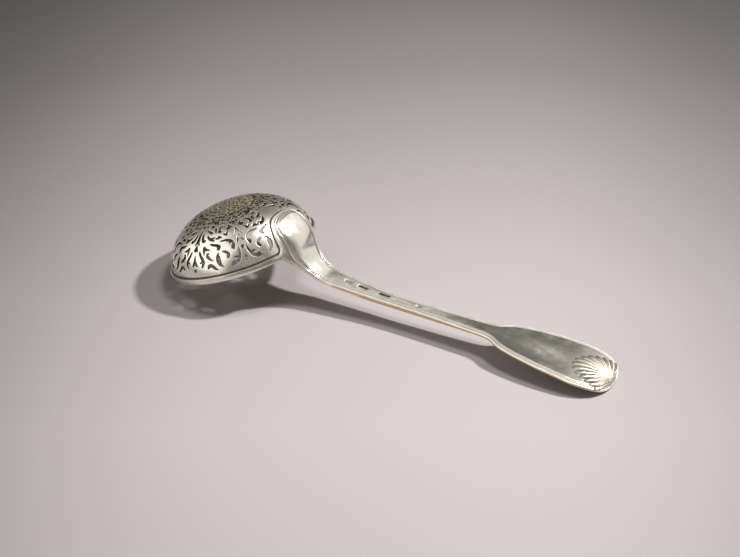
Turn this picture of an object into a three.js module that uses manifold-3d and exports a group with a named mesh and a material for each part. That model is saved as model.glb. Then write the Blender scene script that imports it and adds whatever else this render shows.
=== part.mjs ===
// A silver sifter spoon of the fiddle, thread and shell pattern, lying mouth down.
// Sizes are in millimetres. The table is z = 0, the handle runs toward +X and y = 0 is the spoon's
// plane of symmetry. While the spoon is drawn, x = 0 is the front of the mouth, and at the end the
// spoon is moved until the origin lies under its middle.
import * as THREE from "three";
import Module from "manifold-3d";

const wasm = await Module();
wasm.setup();

const { degToRad, lerp, smoothstep } = THREE.MathUtils;
const fullTurn = degToRad(360);
const halfTurn = degToRad(180);
const quarter = degToRad(90);

// Whole spoon
const overallLength = 205; // from the front of the mouth to the handle's tip
const solderFilm = 0.2; // left between two soldered faces

// Bowl, a raised dome whose outside is a superellipse turned round its own axis
const mouthRadius = 32.15;
const bowlDepth = 22.6;
const bowlFullness = 2.14; // 2 is an ellipse, and more is boxier
const bowlWall = 0.9;
const bowlTilt = degToRad(20.7); // the neck side is the raised one

// Band round the mouth, with its flange and its strap at the neck
const bandHeight = 2.8;
const mountThickness = 0.8;
const wingAngle = degToRad(22.5); // from the handle's middle to the flange's edge
const flangeRise = 18.2; // up the dome from the mouth to the flange's top
const flangeSquareness = 2.8;
const cornerRadius = 1.8; // of the hollow corner between the band and the flange
const strapLength = 23;
const wingSweep = 12; // length over which the wings draw in to the strap
const wingFlare = 2.5; // 1 draws in evenly, and more draws in early
const edgeRelief = 0.3; // how much lower the band's rounded edges are

// Handle, measured along its length from the neck side of the mouth
const tongueRise = 16.4; // up the dome to the tongue's top
const tongueShoulderRise = 7; // where its sides turn into its top
const tongueSquareness = 2.6;
const tongueThickness = 1;
const fiddleThickness = 1.6;
const fiddleEndLength = 16.7; // from the widest place to the tip
const fiddleSquareness = 2.5;
const cupLength = 16; // length over which the neck's cupped back turns flat
// Half widths: [distance from the mouth, half width]
const neckWidths = [[-tongueShoulderRise, 9.6], [1, 9.1], [11, 6.7], [23, 5.5], [45, 4]];
// Half widths: [distance back from the tip, half width]
const fiddleWidths = [
  [92, 3.7],
  [64, 4.7],
  [54, 5.6],
  [47.8, 9],
  [41, 11],
  [28, 13.2],
  [fiddleEndLength, 14],
];

// Height of the stem's underside over the table: [distance from the mouth, height]
const neckReach = 17;
const stemHeights = [[neckReach, 10.4], [38, 8.6], [66, 7.9], [92, 7.1]];
// The same near the tip: [distance back from the tip, height]
const fiddleHeights = [[26, 5.4], [15, 4.1], [6, 2.3], [0.6, -0.72]];
const neckPull = 9; // how far the bend holds the dome's direction, and then the stem's

// Threads: [distance in from the outline, depth below the crest]
const threads = [[0, 0.45], [0.3, 0.06], [0.75, 0], [1.15, 0.3], [1.55, 0.04], [1.95, 0.28]];
const fieldShares = [0.5, 0]; // further points from the threads in to the middle

// Shell on the end of the handle, on both faces
const shellRibs = 13;
const shellHinge = 3; // from the tip to the point that the ribs spread from
const shellLength = 15.5;
const shellHalfWidth = 10.6;
const shellSpread = degToRad(156);
const shellHeight = 0.75;
const shellRoot = 0.35; // how deep a rib is rooted in the face
// Along a rib: [share of its length, share of its spacing that it fills, share of its height]
const ribStations = [
  [0.1, 1.3, 0.5],
  [0.45, 1.12, 0.8],
  [0.8, 1.12, 1],
  [0.95, 0.8, 0.85],
  [1.02, 0.3, 0.2],
];
// Across a rib: [share of its half width, share of its height]
const ribArch = [[-1, 0], [-0.75, 0.7], [0, 1], [0.75, 0.7], [1, 0]];

// Piercing
const patternTurn = degToRad(-2.7); // the pattern stands a little off the handle's line
const patternRepeats = 4;
const piercingMargin = 1.1; // metal left between the mount and a hole
const leafSteps = 3;
const dotSides = 6;
// Leaves of half a repeat. Each has the start, the bend and the end of its middle line, as degrees
// from the axis of the vase motif and millimetres up from the mouth, then its half width and the
// share of its length where it is widest.
const leaves = [
  { from: [4.6, 14.1], bend: [11.6, 9.4], to: [6.6, 6.8], half: 0.85, widest: 0.6 },
  { from: [8.3, 16.2], bend: [10.5, 14.6], to: [15.8, 13.9], half: 0.9, widest: 0.3 },
  { from: [15, 16.9], bend: [23.5, 16.6], to: [23.6, 13.1], half: 0.8, widest: 0.75 },
  { from: [13.4, 12.9], bend: [13, 11.2], to: [18.1, 9.1], half: 0.8, widest: 0.35 },
  { from: [12.6, 6], bend: [15.5, 8.8], to: [20.6, 4.9], half: 0.85, widest: 0.35 },
  { from: [23.5, 12.1], bend: [19.5, 8.8], to: [26.6, 5.5], half: 0.85, widest: 0.5 },
  { from: [26.6, 12.3], bend: [34.5, 12], to: [30.2, 8.9], half: 0.75, widest: 0.7 },
  { from: [40.2, 12], bend: [42.3, 5.8], to: [31.2, 5.6], half: 0.95, widest: 0.65 },
  { from: [24.9, 17.1], bend: [31, 18.6], to: [35.4, 16.4], half: 0.55, widest: 0.5 },
  { from: [36.2, 15.6], bend: [39.5, 14.4], to: [37, 11.8], half: 0.8, widest: 0.55 },
  { from: [10.9, 21.3], bend: [14.3, 18.5], to: [20, 17.7], half: 0.65, widest: 0.55 },
  { from: [20.6, 19.4], bend: [24, 18], to: [28.8, 19.2], half: 0.75, widest: 0.5 },
  { from: [4.7, 22.7], bend: [4.3, 19.6], to: [8.4, 18.4], half: 0.8, widest: 0.7 },
  { from: [28.8, 24.9], bend: [19.6, 23.3], to: [27.5, 21.5], half: 0.7, widest: 0.55 },
  { from: [31.5, 28.5], bend: [36, 26.6], to: [39.4, 29.2], half: 0.6, widest: 0.5 },
];
// Leaves on the vase's axis and on the bell's, half a repeat away
const axisLeaves = [
  { from: [0, 12.4], bend: [0, 10], to: [0, 7.6], half: 1.2, widest: 0.75 },
  { from: [0, 16.5], bend: [0, 15.4], to: [0, 13.8], half: 1.1, widest: 0.65 },
  { from: [0, 23.6], bend: [0, 20.5], to: [0, 17.6], half: 0.85, widest: 0.7 },
  { from: [45, 18.2], bend: [45, 16], to: [45, 14.2], half: 1.3, widest: 0.7 },
  { from: [45, 8.3], bend: [45, 7], to: [45, 5.6], half: 1.1, widest: 0.7 },
  { from: [45, 28.1], bend: [45, 26.3], to: [45, 24.2], half: 0.9, widest: 0.5 },
];
// Round holes: [degrees from the vase's axis, rise, radius]
const axisDots = [[0, 5.8, 0.85], [45, 11.6, 0.85]];
const pairedDots = [[14.5, 24.6, 0.7]];
// Rings of round holes round the top: [rise, holes, radius]
const crownRings = [[33.4, 12, 0.8], [38.2, 8, 0.8]];
const crownTop = 0.9; // radius of the hole at the very top

// Facets
const facetSize = 3.4; // of the dome, where no hole is near
const ringStagger = 1 / 3; // of a facet, from one ring of corners to the next
const bandColumns = 40;
const wingColumns = 18;
const cornerColumns = 3;
const strapRows = 10;
const mountRowShares = [1, 0.94, 0.77, 0.58, 0.4, 0.22, 0.07, 0];
const endSteps = 6;
const stepsPerWidth = 3;
const stepClearance = 0.5; // no row of the handle is this near to the strap's end
const mergeStep = 1e-4; // corners nearer than this are one corner
const circleMargin = 1e-9; // keeps four corners on one circle from being swapped for ever

const silver = { color: 0xd9d6ce, metalness: 1, roughness: 0.3 };

// The dome's outline, from the mouth to the top, as [distance from its axis, height]
class DomeProfile extends THREE.Curve {
  getPoint(t, target = new THREE.Vector2()) {
    const angle = t * quarter;
    const power = 2 / bowlFullness;
    return target.set(mouthRadius * Math.cos(angle) ** power, bowlDepth * Math.sin(angle) ** power);
  }
}

const dome = new DomeProfile();
const domeRise = dome.getLength();
const rimRadius = mouthRadius + solderFilm + mountThickness;

// The dome stands on its mouth in this group, which is tilted about the rounded edge of the band.
const restRadius = rimRadius - edgeRelief;
const tiltedBowl = new THREE.Group();
tiltedBowl.rotation.y = -bowlTilt;
tiltedBowl.position.set(rimRadius * Math.cos(bowlTilt), 0, restRadius * Math.sin(bowlTilt));
tiltedBowl.updateMatrix();
const neckX = 2 * rimRadius * Math.cos(bowlTilt);

// Distance from the dome's axis and height at a rise up its profile, `offset` outside its surface
function domeSection(rise, offset) {
  const share = THREE.MathUtils.clamp(rise / domeRise, 0, 1);
  const point = dome.getPointAt(share);
  const along = dome.getTangentAt(share);
  return new THREE.Vector2(point.x + along.y * offset, point.y - along.x * offset);
}

// A point on the dome in the bowl's own frame
function onDome(rise, angle, offset) {
  const section = domeSection(rise, offset);
  return new THREE.Vector3(section.x * Math.cos(angle), section.x * Math.sin(angle), section.y);
}

// Closed mesh from points and triangles, which may repeat a point
function closedGeometry(points, triangles) {
  const index = new Map();
  const vertices = [];
  const merged = points.map((point) => {
    const key = point.toArray().map((value) => Math.round(value / mergeStep)).join();
    if (!index.has(key)) {
      index.set(key, vertices.length / 3);
      vertices.push(...point.toArray());
    }
    return index.get(key);
  });
  const kept = triangles
    .map((corners) => corners.map((corner) => merged[corner]))
    .filter(([a, b, c]) => a !== b && b !== c && c !== a);
  const geometry = new THREE.BufferGeometry();
  geometry.setAttribute("position", new THREE.Float32BufferAttribute(vertices, 3));
  geometry.setIndex(kept.flat());
  geometry.computeVertexNormals();
  return geometry;
}

function toSolid(geometry) {
  const vertProperties = new Float32Array(geometry.attributes.position.array);
  const triVerts = new Uint32Array(geometry.index.array);
  return new wasm.Manifold(new wasm.Mesh({ numProp: 3, vertProperties, triVerts }));
}

function toGeometry(solid) {
  const mesh = solid.getMesh();
  const geometry = new THREE.BufferGeometry();
  geometry.setAttribute("position", new THREE.BufferAttribute(mesh.vertProperties, 3));
  geometry.setIndex(new THREE.BufferAttribute(mesh.triVerts, 1));
  geometry.computeVertexNormals();
  return geometry;
}

// Skin over rows that are each a closed loop of as many points. A row that lies flat on itself
// closes its own end, and a row listed in `caps` is closed with a fan.
function skin(rows, caps = []) {
  const count = rows[0].length;
  const triangles = [];
  for (let row = 0; row + 1 < rows.length; row++) {
    for (let place = 0; place < count; place++) {
      const next = (place + 1) % count;
      const [a, b] = [row * count + place, row * count + next];
      const [c, d] = [a + count, b + count];
      triangles.push([a, b, d], [a, d, c]);
    }
  }
  for (const row of caps) {
    for (let place = 1; place + 1 < count; place++) {
      const fan = [row * count, row * count + place, row * count + place + 1];
      triangles.push(row === 0 ? fan.reverse() : fan);
    }
  }
  return closedGeometry(rows.flat(), triangles);
}

// Piercings are drawn flat, in millimetres along the ring at their rise and millimetres of rise.
function flat([degrees, rise]) {
  return new THREE.Vector2(degToRad(degrees) * domeSection(rise, 0).x, rise);
}

function leafOutline({ from, bend, to, half, widest }) {
  const middle = new THREE.QuadraticBezierCurve(flat(from), flat(bend), flat(to));
  const swelling = Math.log(0.5) / Math.log(widest);
  const left = [];
  const right = [];
  for (let step = 1; step <= leafSteps; step++) {
    const share = step / (leafSteps + 1);
    const point = middle.getPoint(share);
    const along = middle.getTangent(share);
    const reach = half * Math.sin(halfTurn * share ** swelling);
    const across = new THREE.Vector2(-along.y, along.x).multiplyScalar(reach);
    left.push(point.clone().add(across));
    right.unshift(point.clone().sub(across));
  }
  return [flat(from), ...left, flat(to), ...right];
}

function dotOutline([degrees, rise, radius]) {
  const middle = flat([degrees, rise]);
  return Array.from({ length: dotSides }, (_, side) => {
    const angle = (side + 0.5) * (fullTurn / dotSides);
    return new THREE.Vector2(Math.cos(angle), Math.sin(angle)).multiplyScalar(radius).add(middle);
  });
}

// A flat outline turned round the bowl by `turn`, mirrored first where `side` is -1
function aroundBowl(outline, side, turn) {
  return outline.map((point) => ({
    angle: turn + (side * point.x) / domeSection(point.y, 0).x,
    rise: point.y,
  }));
}

// Rise of the mount's upper edge at an angle round the bowl
function mountRise(angle) {
  const away = Math.abs(Math.atan2(Math.sin(angle), Math.cos(angle)));
  const beyond = (away - wingAngle) * mouthRadius;
  const inCorner = Math.max(cornerRadius - Math.max(beyond, 0), 0);
  const corner = bandHeight + cornerRadius - Math.sqrt(cornerRadius ** 2 - inCorner ** 2);
  if (beyond >= 0) return corner;
  const fullness = (1 - (away / wingAngle) ** flangeSquareness) ** (1 / flangeSquareness);
  return Math.max(lerp(bandHeight, flangeRise, fullness), corner);
}

function isClearOfMount(hole) {
  const reach = piercingMargin / mouthRadius;
  return hole.every(({ angle, rise }) =>
    [-reach, 0, reach].every((turn) => rise > mountRise(angle + turn) + piercingMargin),
  );
}

function patternHoles() {
  const holes = [];
  const paired = [...leaves.map(leafOutline), ...pairedDots.map(dotOutline)];
  const single = [...axisLeaves.map(leafOutline), ...axisDots.map(dotOutline)];
  for (let repeat = 0; repeat < patternRepeats; repeat++) {
    const turn = patternTurn + repeat * (fullTurn / patternRepeats);
    paired.forEach((outline) => {
      holes.push(aroundBowl(outline, 1, turn), aroundBowl(outline, -1, turn));
    });
    single.forEach((outline) => holes.push(aroundBowl(outline, 1, turn)));
  }
  for (const [rise, count, radius] of crownRings) {
    const dot = dotOutline([0, rise, radius]);
    for (let place = 0; place < count; place++) {
      holes.push(aroundBowl(dot, 1, patternTurn + place * (fullTurn / count)));
    }
  }
  const top = Array.from({ length: dotSides }, (_, side) => ({
    angle: side * (fullTurn / dotSides),
    rise: domeRise - crownTop,
  }));
  return [...holes.filter(isClearOfMount), top];
}

// The dome pressed flat from above, with its rise as the distance from the edge of a disc
function pressedFlat({ angle, rise }) {
  const distance = domeRise - rise;
  return new THREE.Vector2(distance * Math.cos(angle), distance * Math.sin(angle));
}

// Evenly spaced points round the dome, `phase` of a space on from the handle's line
function ring(rise, phase) {
  const count = Math.round((fullTurn * domeSection(rise, 0).x) / facetSize);
  const space = fullTurn / count;
  return Array.from({ length: count }, (_, place) => ({ angle: (place + phase) * space, rise }));
}

// Points between the holes that keep the facets small
function sheetPoints(holes) {
  const edges = holes.flat().map(pressedFlat);
  const points = [];
  for (let row = 1; row * facetSize < domeRise; row++) {
    points.push(...ring(row * facetSize, row * ringStagger));
  }
  return points.filter((point) => {
    const place = pressedFlat(point);
    return edges.every((edge) => edge.distanceTo(place) > facetSize / 2);
  });
}

// Turning sense of three points, above 0 where they run anticlockwise
function turning(a, b, c) {
  return (b.x - a.x) * (c.y - a.y) - (b.y - a.y) * (c.x - a.x);
}

// Whether d lies inside the circle through a, b and c, which run anticlockwise
function isInCircle(a, b, c, d) {
  const [p, q, r] = [a, b, c].map((point) => point.clone().sub(d));
  const part = (arm, one, other) => arm.lengthSq() * one.cross(other);
  return part(p, q, r) + part(q, r, p) + part(r, p, q) > circleMargin;
}

// Triangles of a flat sheet with holes, whose extra points are put in one by one. An edge between
// two triangles is swapped for the other diagonal while the circle round one triangle holds the far
// corner of the other, so that the facets come out as even as the outlines allow.
function fillSheet(contour, holes, extras) {
  const outlined = [...contour, ...holes.flat()];
  const points = [...outlined, ...extras];
  const triangles = [];
  const owners = new Map();
  const queue = [];
  const nameOf = (a, b) => (a < b ? a * points.length + b : b * points.length + a);
  const namesOf = ([a, b, c]) => [nameOf(a, b), nameOf(b, c), nameOf(c, a)];
  const own = (triangle, place) => {
    triangles[place] = triangle;
    for (const name of namesOf(triangle)) {
      owners.set(name, [...(owners.get(name) ?? []), place]);
      queue.push(name);
    }
  };
  const replace = (places, made) => {
    for (const place of places) {
      for (const name of namesOf(triangles[place])) {
        owners.set(name, owners.get(name).filter((owner) => owner !== place));
      }
    }
    made.forEach((triangle, turn) => own(triangle, places[turn] ?? triangles.length));
  };
  const settle = () => {
    while (queue.length) {
      const name = queue.pop();
      if (owners.get(name).length !== 2) continue;
      const [one, other] = owners.get(name);
      const ends = [Math.floor(name / points.length), name % points.length];
      const tip = triangles[one].find((corner) => !ends.includes(corner));
      const far = triangles[other].find((corner) => !ends.includes(corner));
      const after = triangles[one].indexOf(tip);
      const [start, end] = [triangles[one][(after + 1) % 3], triangles[one][(after + 2) % 3]];
      const [a, b, c, d] = [tip, start, end, far].map((corner) => points[corner]);
      if (!isInCircle(a, b, c, d) || turning(a, b, d) <= 0 || turning(a, d, c) <= 0) continue;
      replace([one, other], [[tip, start, far], [tip, far, end]]);
    }
  };
  THREE.ShapeUtils.triangulateShape(contour, holes).forEach(own);
  settle();
  extras.forEach((extra, place) => {
    const holder = triangles.findIndex((triangle) =>
      triangle.every((corner, turn) => {
        const next = triangle[(turn + 1) % 3];
        return turning(points[corner], points[next], extra) >= 0;
      }),
    );
    if (holder < 0) return;
    const [a, b, c] = triangles[holder];
    const tip = outlined.length + place;
    replace([holder], [[tip, a, b], [tip, b, c], [tip, c, a]]);
    settle();
  });
  return triangles;
}

function piercedBowl() {
  const mouth = ring(0, 0);
  const holes = patternHoles().map((hole) =>
    THREE.ShapeUtils.isClockWise(hole.map(pressedFlat)) ? hole : hole.toReversed(),
  );
  const extras = sheetPoints(holes);
  const outlines = [mouth, ...holes];
  const places = [...outlines.flat(), ...extras];
  const flatHoles = holes.map((hole) => hole.map(pressedFlat));
  const sheet = fillSheet(mouth.map(pressedFlat), flatHoles, extras.map(pressedFlat));
  const inside = places.length;
  const triangles = sheet.flatMap(([a, b, c]) => [[a, b, c], [c + inside, b + inside, a + inside]]);
  let first = 0;
  for (const outline of outlines) {
    outline.forEach((_, place) => {
      const [a, b] = [first + place, first + ((place + 1) % outline.length)];
      triangles.push([a, a + inside, b], [b, a + inside, b + inside]);
    });
    first += outline.length;
  }
  const outer = places.map(({ angle, rise }) => onDome(rise, angle, 0));
  const inner = places.map(({ angle, rise }) => onDome(rise, angle, -bowlWall));
  return closedGeometry([...outer, ...inner], triangles);
}

// Spine: the line of the stem's underside from the neck side of the mouth to the tip
function upright([x, z]) {
  return new THREE.Vector3(x, 0, z);
}

const mouthAtNeck = new THREE.Vector3(mouthRadius, 0, 0).applyMatrix4(tiltedBowl.matrix);
const downDome = new THREE.Vector3(Math.sin(bowlTilt), 0, -Math.cos(bowlTilt));
const stemPoints = [
  ...stemHeights.map(([distance, height]) => upright([neckX + distance, height])),
  ...fiddleHeights.map(([distance, height]) => upright([overallLength - distance, height])),
];
const stem = new THREE.CatmullRomCurve3(stemPoints, false, "centripetal");
const neck = new THREE.CubicBezierCurve3(
  mouthAtNeck,
  mouthAtNeck.clone().addScaledVector(downDome, neckPull),
  stemPoints[0].clone().addScaledVector(stem.getTangent(0), -neckPull),
  stemPoints[0],
);
const spine = new THREE.CurvePath();
spine.add(neck);
spine.add(stem);
const spineLength = spine.getLength();

// A point `distance` past the mouth along the spine, or up the dome where that is negative, then
// `side` off the plane of symmetry and `offset` outside the dome or above the spine
function alongHandle(distance, side, offset) {
  if (distance < 0) {
    const section = domeSection(-distance, offset);
    const radial = Math.sqrt(section.x ** 2 - side ** 2);
    return new THREE.Vector3(radial, side, section.y).applyMatrix4(tiltedBowl.matrix);
  }
  const share = Math.min(distance / spineLength, 1);
  const point = spine.getPoint(share);
  const along = spine.getTangent(share);
  const radius = mouthRadius + offset;
  const cup = 1 - smoothstep(distance, 0, cupLength);
  const rise = offset - cup * (radius - Math.sqrt(radius ** 2 - side ** 2));
  return new THREE.Vector3(point.x - along.z * rise, side, point.z + along.x * rise);
}

const mountFace = solderFilm + mountThickness; // offset of the mount's outer face
const tongueSeat = mountFace + solderFilm; // offset of the tongue's back
const handleFace = tongueSeat + tongueThickness; // offset of the handle's upper face
const fiddleBack = handleFace - fiddleThickness; // offset of the fiddle's underside

// Half of the handle's outline as [distance, half width], from the tongue's top to the tip
function superellipse(step, length, half, squareness) {
  const angle = (step / endSteps) * quarter;
  const power = 2 / squareness;
  return [length * Math.cos(angle) ** power, half * Math.sin(angle) ** power];
}

function handleOutline() {
  const sidePoints = [
    ...neckWidths.map(([distance, half]) => new THREE.Vector3(distance, half, 0)),
    ...fiddleWidths.map(([back, half]) => new THREE.Vector3(spineLength - back, half, 0)),
  ];
  const sideLine = new THREE.CatmullRomCurve3(sidePoints, false, "centripetal");
  const sides = sideLine.getPoints((sidePoints.length - 1) * stepsPerWidth);
  const tongueLength = tongueRise - tongueShoulderRise;
  const widestAt = spineLength - fiddleEndLength;
  const outline = [];
  for (let step = 0; step < endSteps; step++) {
    const [reach, half] = superellipse(step, tongueLength, sides[0].y, tongueSquareness);
    outline.push(new THREE.Vector2(-tongueShoulderRise - reach, half));
  }
  sides.forEach((point) => outline.push(new THREE.Vector2(point.x, point.y)));
  for (let step = endSteps - 1; step >= 0; step--) {
    const [reach, half] = superellipse(step, fiddleEndLength, sides.at(-1).y, fiddleSquareness);
    outline.push(new THREE.Vector2(widestAt + reach, half));
  }
  outline[0].y = 0;
  outline.at(-1).y = 0;
  return outline;
}

// Outline stations, each with its outward direction and the offset of the back face there.
// The back steps down where the strap ends.
function handleStations() {
  const isOffStep = (point) => Math.abs(point.x - strapLength) > stepClearance;
  const outline = handleOutline().filter(isOffStep);
  const stations = outline.map((point, place) => {
    const before = outline[place - 1] ?? new THREE.Vector2(point.x, -outline[1].y);
    const after = outline[place + 1] ?? new THREE.Vector2(point.x, -outline.at(-2).y);
    const along = after.clone().sub(before).normalize();
    const [thick, thin] = [fiddleWidths[0], fiddleWidths[3]].map(([back]) => spineLength - back);
    const thinned = smoothstep(point.x, thick, thin);
    return {
      point,
      outward: new THREE.Vector2(-along.y, along.x),
      back: point.x < strapLength ? tongueSeat : lerp(0, fiddleBack, thinned),
      backThreads: smoothstep(point.x, strapLength, strapLength + cupLength),
    };
  });
  const first = stations.findIndex(({ point }) => point.x >= strapLength);
  const [last, next] = [stations[first - 1], stations[first]];
  const share = (strapLength - last.point.x) / (next.point.x - last.point.x);
  const point = last.point.clone().lerp(next.point, share);
  const step = { point, outward: next.outward, back: tongueSeat, backThreads: 0 };
  const foot = { ...step, point: point.clone().setX(strapLength + solderFilm / 2), back: 0 };
  stations.splice(first, 0, step, foot);
  return stations;
}

function handleLoop({ point, outward, back, backThreads }) {
  const upper = [];
  const lower = [];
  for (const [inset, depth] of threads) {
    const place = point.clone().addScaledVector(outward, -inset);
    const side = Math.max(place.y, 0);
    const edge = inset === 0 ? depth : depth * backThreads;
    upper.push([place.x, side, handleFace - depth]);
    lower.push([place.x, side, back + Math.min(edge, depth)]);
  }
  const [x, side, fieldHeight] = upper.at(-1);
  const backHeight = lower.at(-1)[2];
  for (const share of fieldShares) {
    upper.push([x, side * share, fieldHeight]);
    lower.push([x, side * share, backHeight]);
  }
  const mirrored = (points) =>
    points.slice(0, -1).map(([along, across, offset]) => [along, -across, offset]);
  const loop = [...mirrored(lower), ...lower.reverse(), ...upper, ...mirrored(upper).reverse()];
  return loop.map(([along, across, offset]) => alongHandle(along, across, offset));
}

// One rib of the shell: `face` is the offset of the handle's face and `up` is -1 on the back
function shellRib(angle, face, up) {
  const reach = 1 / Math.hypot(Math.cos(angle) / shellLength, Math.sin(angle) / shellHalfWidth);
  const spacing = shellSpread / (shellRibs - 1);
  const hingeAt = spineLength - shellHinge;
  const rows = ribStations.map(([share, fill, lift]) => {
    const radius = reach * share;
    const half = (radius * spacing * fill) / 2;
    const crest = ribArch.map(([across, height]) => [across * half, height * lift * shellHeight]);
    const root = [[half, -shellRoot], [-half, -shellRoot]];
    const loop = [...crest, ...root].map(([across, height]) => {
      const distance = hingeAt - radius * Math.cos(angle) + across * Math.sin(angle);
      const side = radius * Math.sin(angle) + across * Math.cos(angle);
      return alongHandle(distance, side, face + up * height);
    });
    return up > 0 ? loop : loop.reverse();
  });
  return toSolid(skin(rows, [0, ribStations.length - 1]));
}

function shell() {
  const ribs = [];
  const fieldDepth = threads.at(-1)[1];
  for (let rib = 0; rib < shellRibs; rib++) {
    const angle = shellSpread * (rib / (shellRibs - 1) - 0.5);
    ribs.push(shellRib(angle, handleFace - fieldDepth, 1), shellRib(angle, fiddleBack + fieldDepth, -1));
  }
  return ribs;
}

function handle() {
  const bar = toSolid(skin(handleStations().map(handleLoop)));
  return toGeometry(wasm.Manifold.union([bar, ...shell()]));
}

// Half width of the handle at a distance along it
const outlineForWidth = handleOutline();
function handleHalfWidth(distance) {
  const after = outlineForWidth.findIndex((point) => point.x > distance);
  const [a, b] = [outlineForWidth[after - 1], outlineForWidth[after]];
  return lerp(a.y, b.y, (distance - a.x) / (b.x - a.x));
}

// Mount: columns run round the mouth and, at the neck, on down the strap
function mountColumns() {
  const columns = [];
  for (let place = 0; place <= wingColumns; place++) {
    const turn = Math.sin((2 * place / wingColumns - 1) * quarter);
    const spread = Math.sign(turn) * Math.abs(turn) ** (2 / flangeSquareness);
    columns.push({ angle: wingAngle * spread, isWing: true });
  }
  const cornerAngles = Array.from({ length: cornerColumns }, (_, place) => {
    const share = 1 - Math.cos(((place + 1) / cornerColumns) * quarter);
    return wingAngle + (share * cornerRadius) / mouthRadius;
  });
  const start = cornerAngles.at(-1);
  const band = Array.from({ length: bandColumns - 1 }, (_, place) =>
    lerp(start, fullTurn - start, (place + 1) / bandColumns),
  );
  const farCorner = cornerAngles.toReversed().map((angle) => fullTurn - angle);
  for (const angle of [...cornerAngles, ...band, ...farCorner]) {
    columns.push({ angle, isWing: false });
  }
  return columns;
}

// Outer and inner point of the mount at a column and a row. Rows count down from the upper edge
// to the mouth, and on from there down the strap.
function mountPoints({ angle, isWing }, row) {
  const lastRow = mountRowShares.length - 1;
  if (row <= lastRow) {
    const rise = mountRise(angle) * mountRowShares[row];
    const isEdge = row === 0 || (row === lastRow && !isWing);
    const outer = mountFace - (isEdge ? edgeRelief : 0);
    return [outer, solderFilm].map((offset) =>
      onDome(rise, angle, offset).applyMatrix4(tiltedBowl.matrix),
    );
  }
  const share = (row - lastRow) / strapRows;
  const distance = share * (strapLength - solderFilm);
  const wing = (mouthRadius + mountFace) * Math.sin(wingAngle) - handleHalfWidth(0);
  const drawnIn = Math.max(1 - distance / wingSweep, 0) ** wingFlare;
  const half = handleHalfWidth(distance) + wing * drawnIn;
  const across = (half * Math.sin(angle)) / Math.sin(wingAngle);
  const inner = lerp(solderFilm, 0, smoothstep(share, 0, 1));
  return [mountFace, inner].map((offset) => alongHandle(distance, across, offset));
}

function rimMount() {
  const columns = mountColumns();
  const rowCount = mountRowShares.length + strapRows;
  const points = columns.flatMap((column) =>
    Array.from({ length: rowCount }, (_, row) => mountPoints(column, row)).flat(),
  );
  const corner = (column, row, face) => ((column % columns.length) * rowCount + row) * 2 + face;
  const isCell = (column, row) => {
    const place = (column + columns.length) % columns.length;
    if (row < 0 || row >= rowCount - 1) return false;
    return row < mountRowShares.length - 1 || place < wingColumns;
  };
  const triangles = [];
  const quad = (a, b, c, d) => triangles.push([a, b, c], [a, c, d]);
  for (let column = 0; column < columns.length; column++) {
    for (let row = 0; row < rowCount - 1; row++) {
      if (!isCell(column, row)) continue;
      const [outer, inner] = [0, 1].map((face) => [
        corner(column, row, face),
        corner(column, row + 1, face),
        corner(column + 1, row + 1, face),
        corner(column + 1, row, face),
      ]);
      quad(...outer);
      quad(...inner.toReversed());
      const neighbours = [[column - 1, row], [column, row + 1], [column + 1, row], [column, row - 1]];
      neighbours.forEach(([nextColumn, nextRow], side) => {
        const end = (side + 1) % 4;
        if (!isCell(nextColumn, nextRow)) quad(outer[end], outer[side], inner[side], inner[end]);
      });
    }
  }
  return toGeometry(toSolid(closedGeometry(points, triangles)));
}

function part(name, geometry, finish) {
  const mesh = new THREE.Mesh(geometry, new THREE.MeshStandardMaterial(finish));
  mesh.name = name;
  return mesh;
}

const spoon = new THREE.Group();
spoon.name = "sifter_spoon";
tiltedBowl.add(part("pierced_bowl", piercedBowl(), silver));
spoon.add(tiltedBowl);
spoon.add(part("rim_mount", rimMount(), silver));
spoon.add(part("handle", handle(), silver));
const bounds = new THREE.Box3().setFromObject(spoon, true);
spoon.position.x = -(bounds.min.x + bounds.max.x) / 2;

export default spoon;
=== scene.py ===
"""A silver sifter spoon of the fiddle, thread and shell pattern, lying mouth down on a pale table.

The pieces are drawn in millimetres in the spoon's own frame: the front of the mouth is at x = 0,
the handle runs toward +X and the table is z = 0. Each finished mesh is in metres, in the frame of
the CAD model, whose origin lies under the middle of the spoon.
"""

import math

import bmesh
import bpy
import numpy as np
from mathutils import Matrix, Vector, kdtree
from mathutils.geometry import delaunay_2d_cdt


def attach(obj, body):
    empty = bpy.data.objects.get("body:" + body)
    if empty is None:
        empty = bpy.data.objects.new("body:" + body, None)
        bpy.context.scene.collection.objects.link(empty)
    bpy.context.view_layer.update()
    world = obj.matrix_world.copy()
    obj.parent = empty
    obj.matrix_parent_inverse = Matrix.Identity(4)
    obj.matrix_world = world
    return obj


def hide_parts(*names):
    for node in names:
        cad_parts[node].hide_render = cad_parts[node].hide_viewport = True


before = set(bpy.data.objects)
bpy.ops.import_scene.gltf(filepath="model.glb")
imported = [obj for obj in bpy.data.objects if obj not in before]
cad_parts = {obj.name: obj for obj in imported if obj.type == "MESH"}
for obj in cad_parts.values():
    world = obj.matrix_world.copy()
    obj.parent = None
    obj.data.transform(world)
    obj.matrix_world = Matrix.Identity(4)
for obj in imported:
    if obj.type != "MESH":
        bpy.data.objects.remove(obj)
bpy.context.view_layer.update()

MM = 0.001
MIDDLE = 102.173  # from the front of the mouth to the frame's origin
FULL_TURN = 2 * math.pi

# Bowl, a dome whose outline is a superellipse
MOUTH_RADIUS = 32.15
BOWL_DEPTH = 22.6
BOWL_FULLNESS = 2.14
BOWL_WALL = 0.9
BOWL_TILT = math.radians(20.7)

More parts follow.
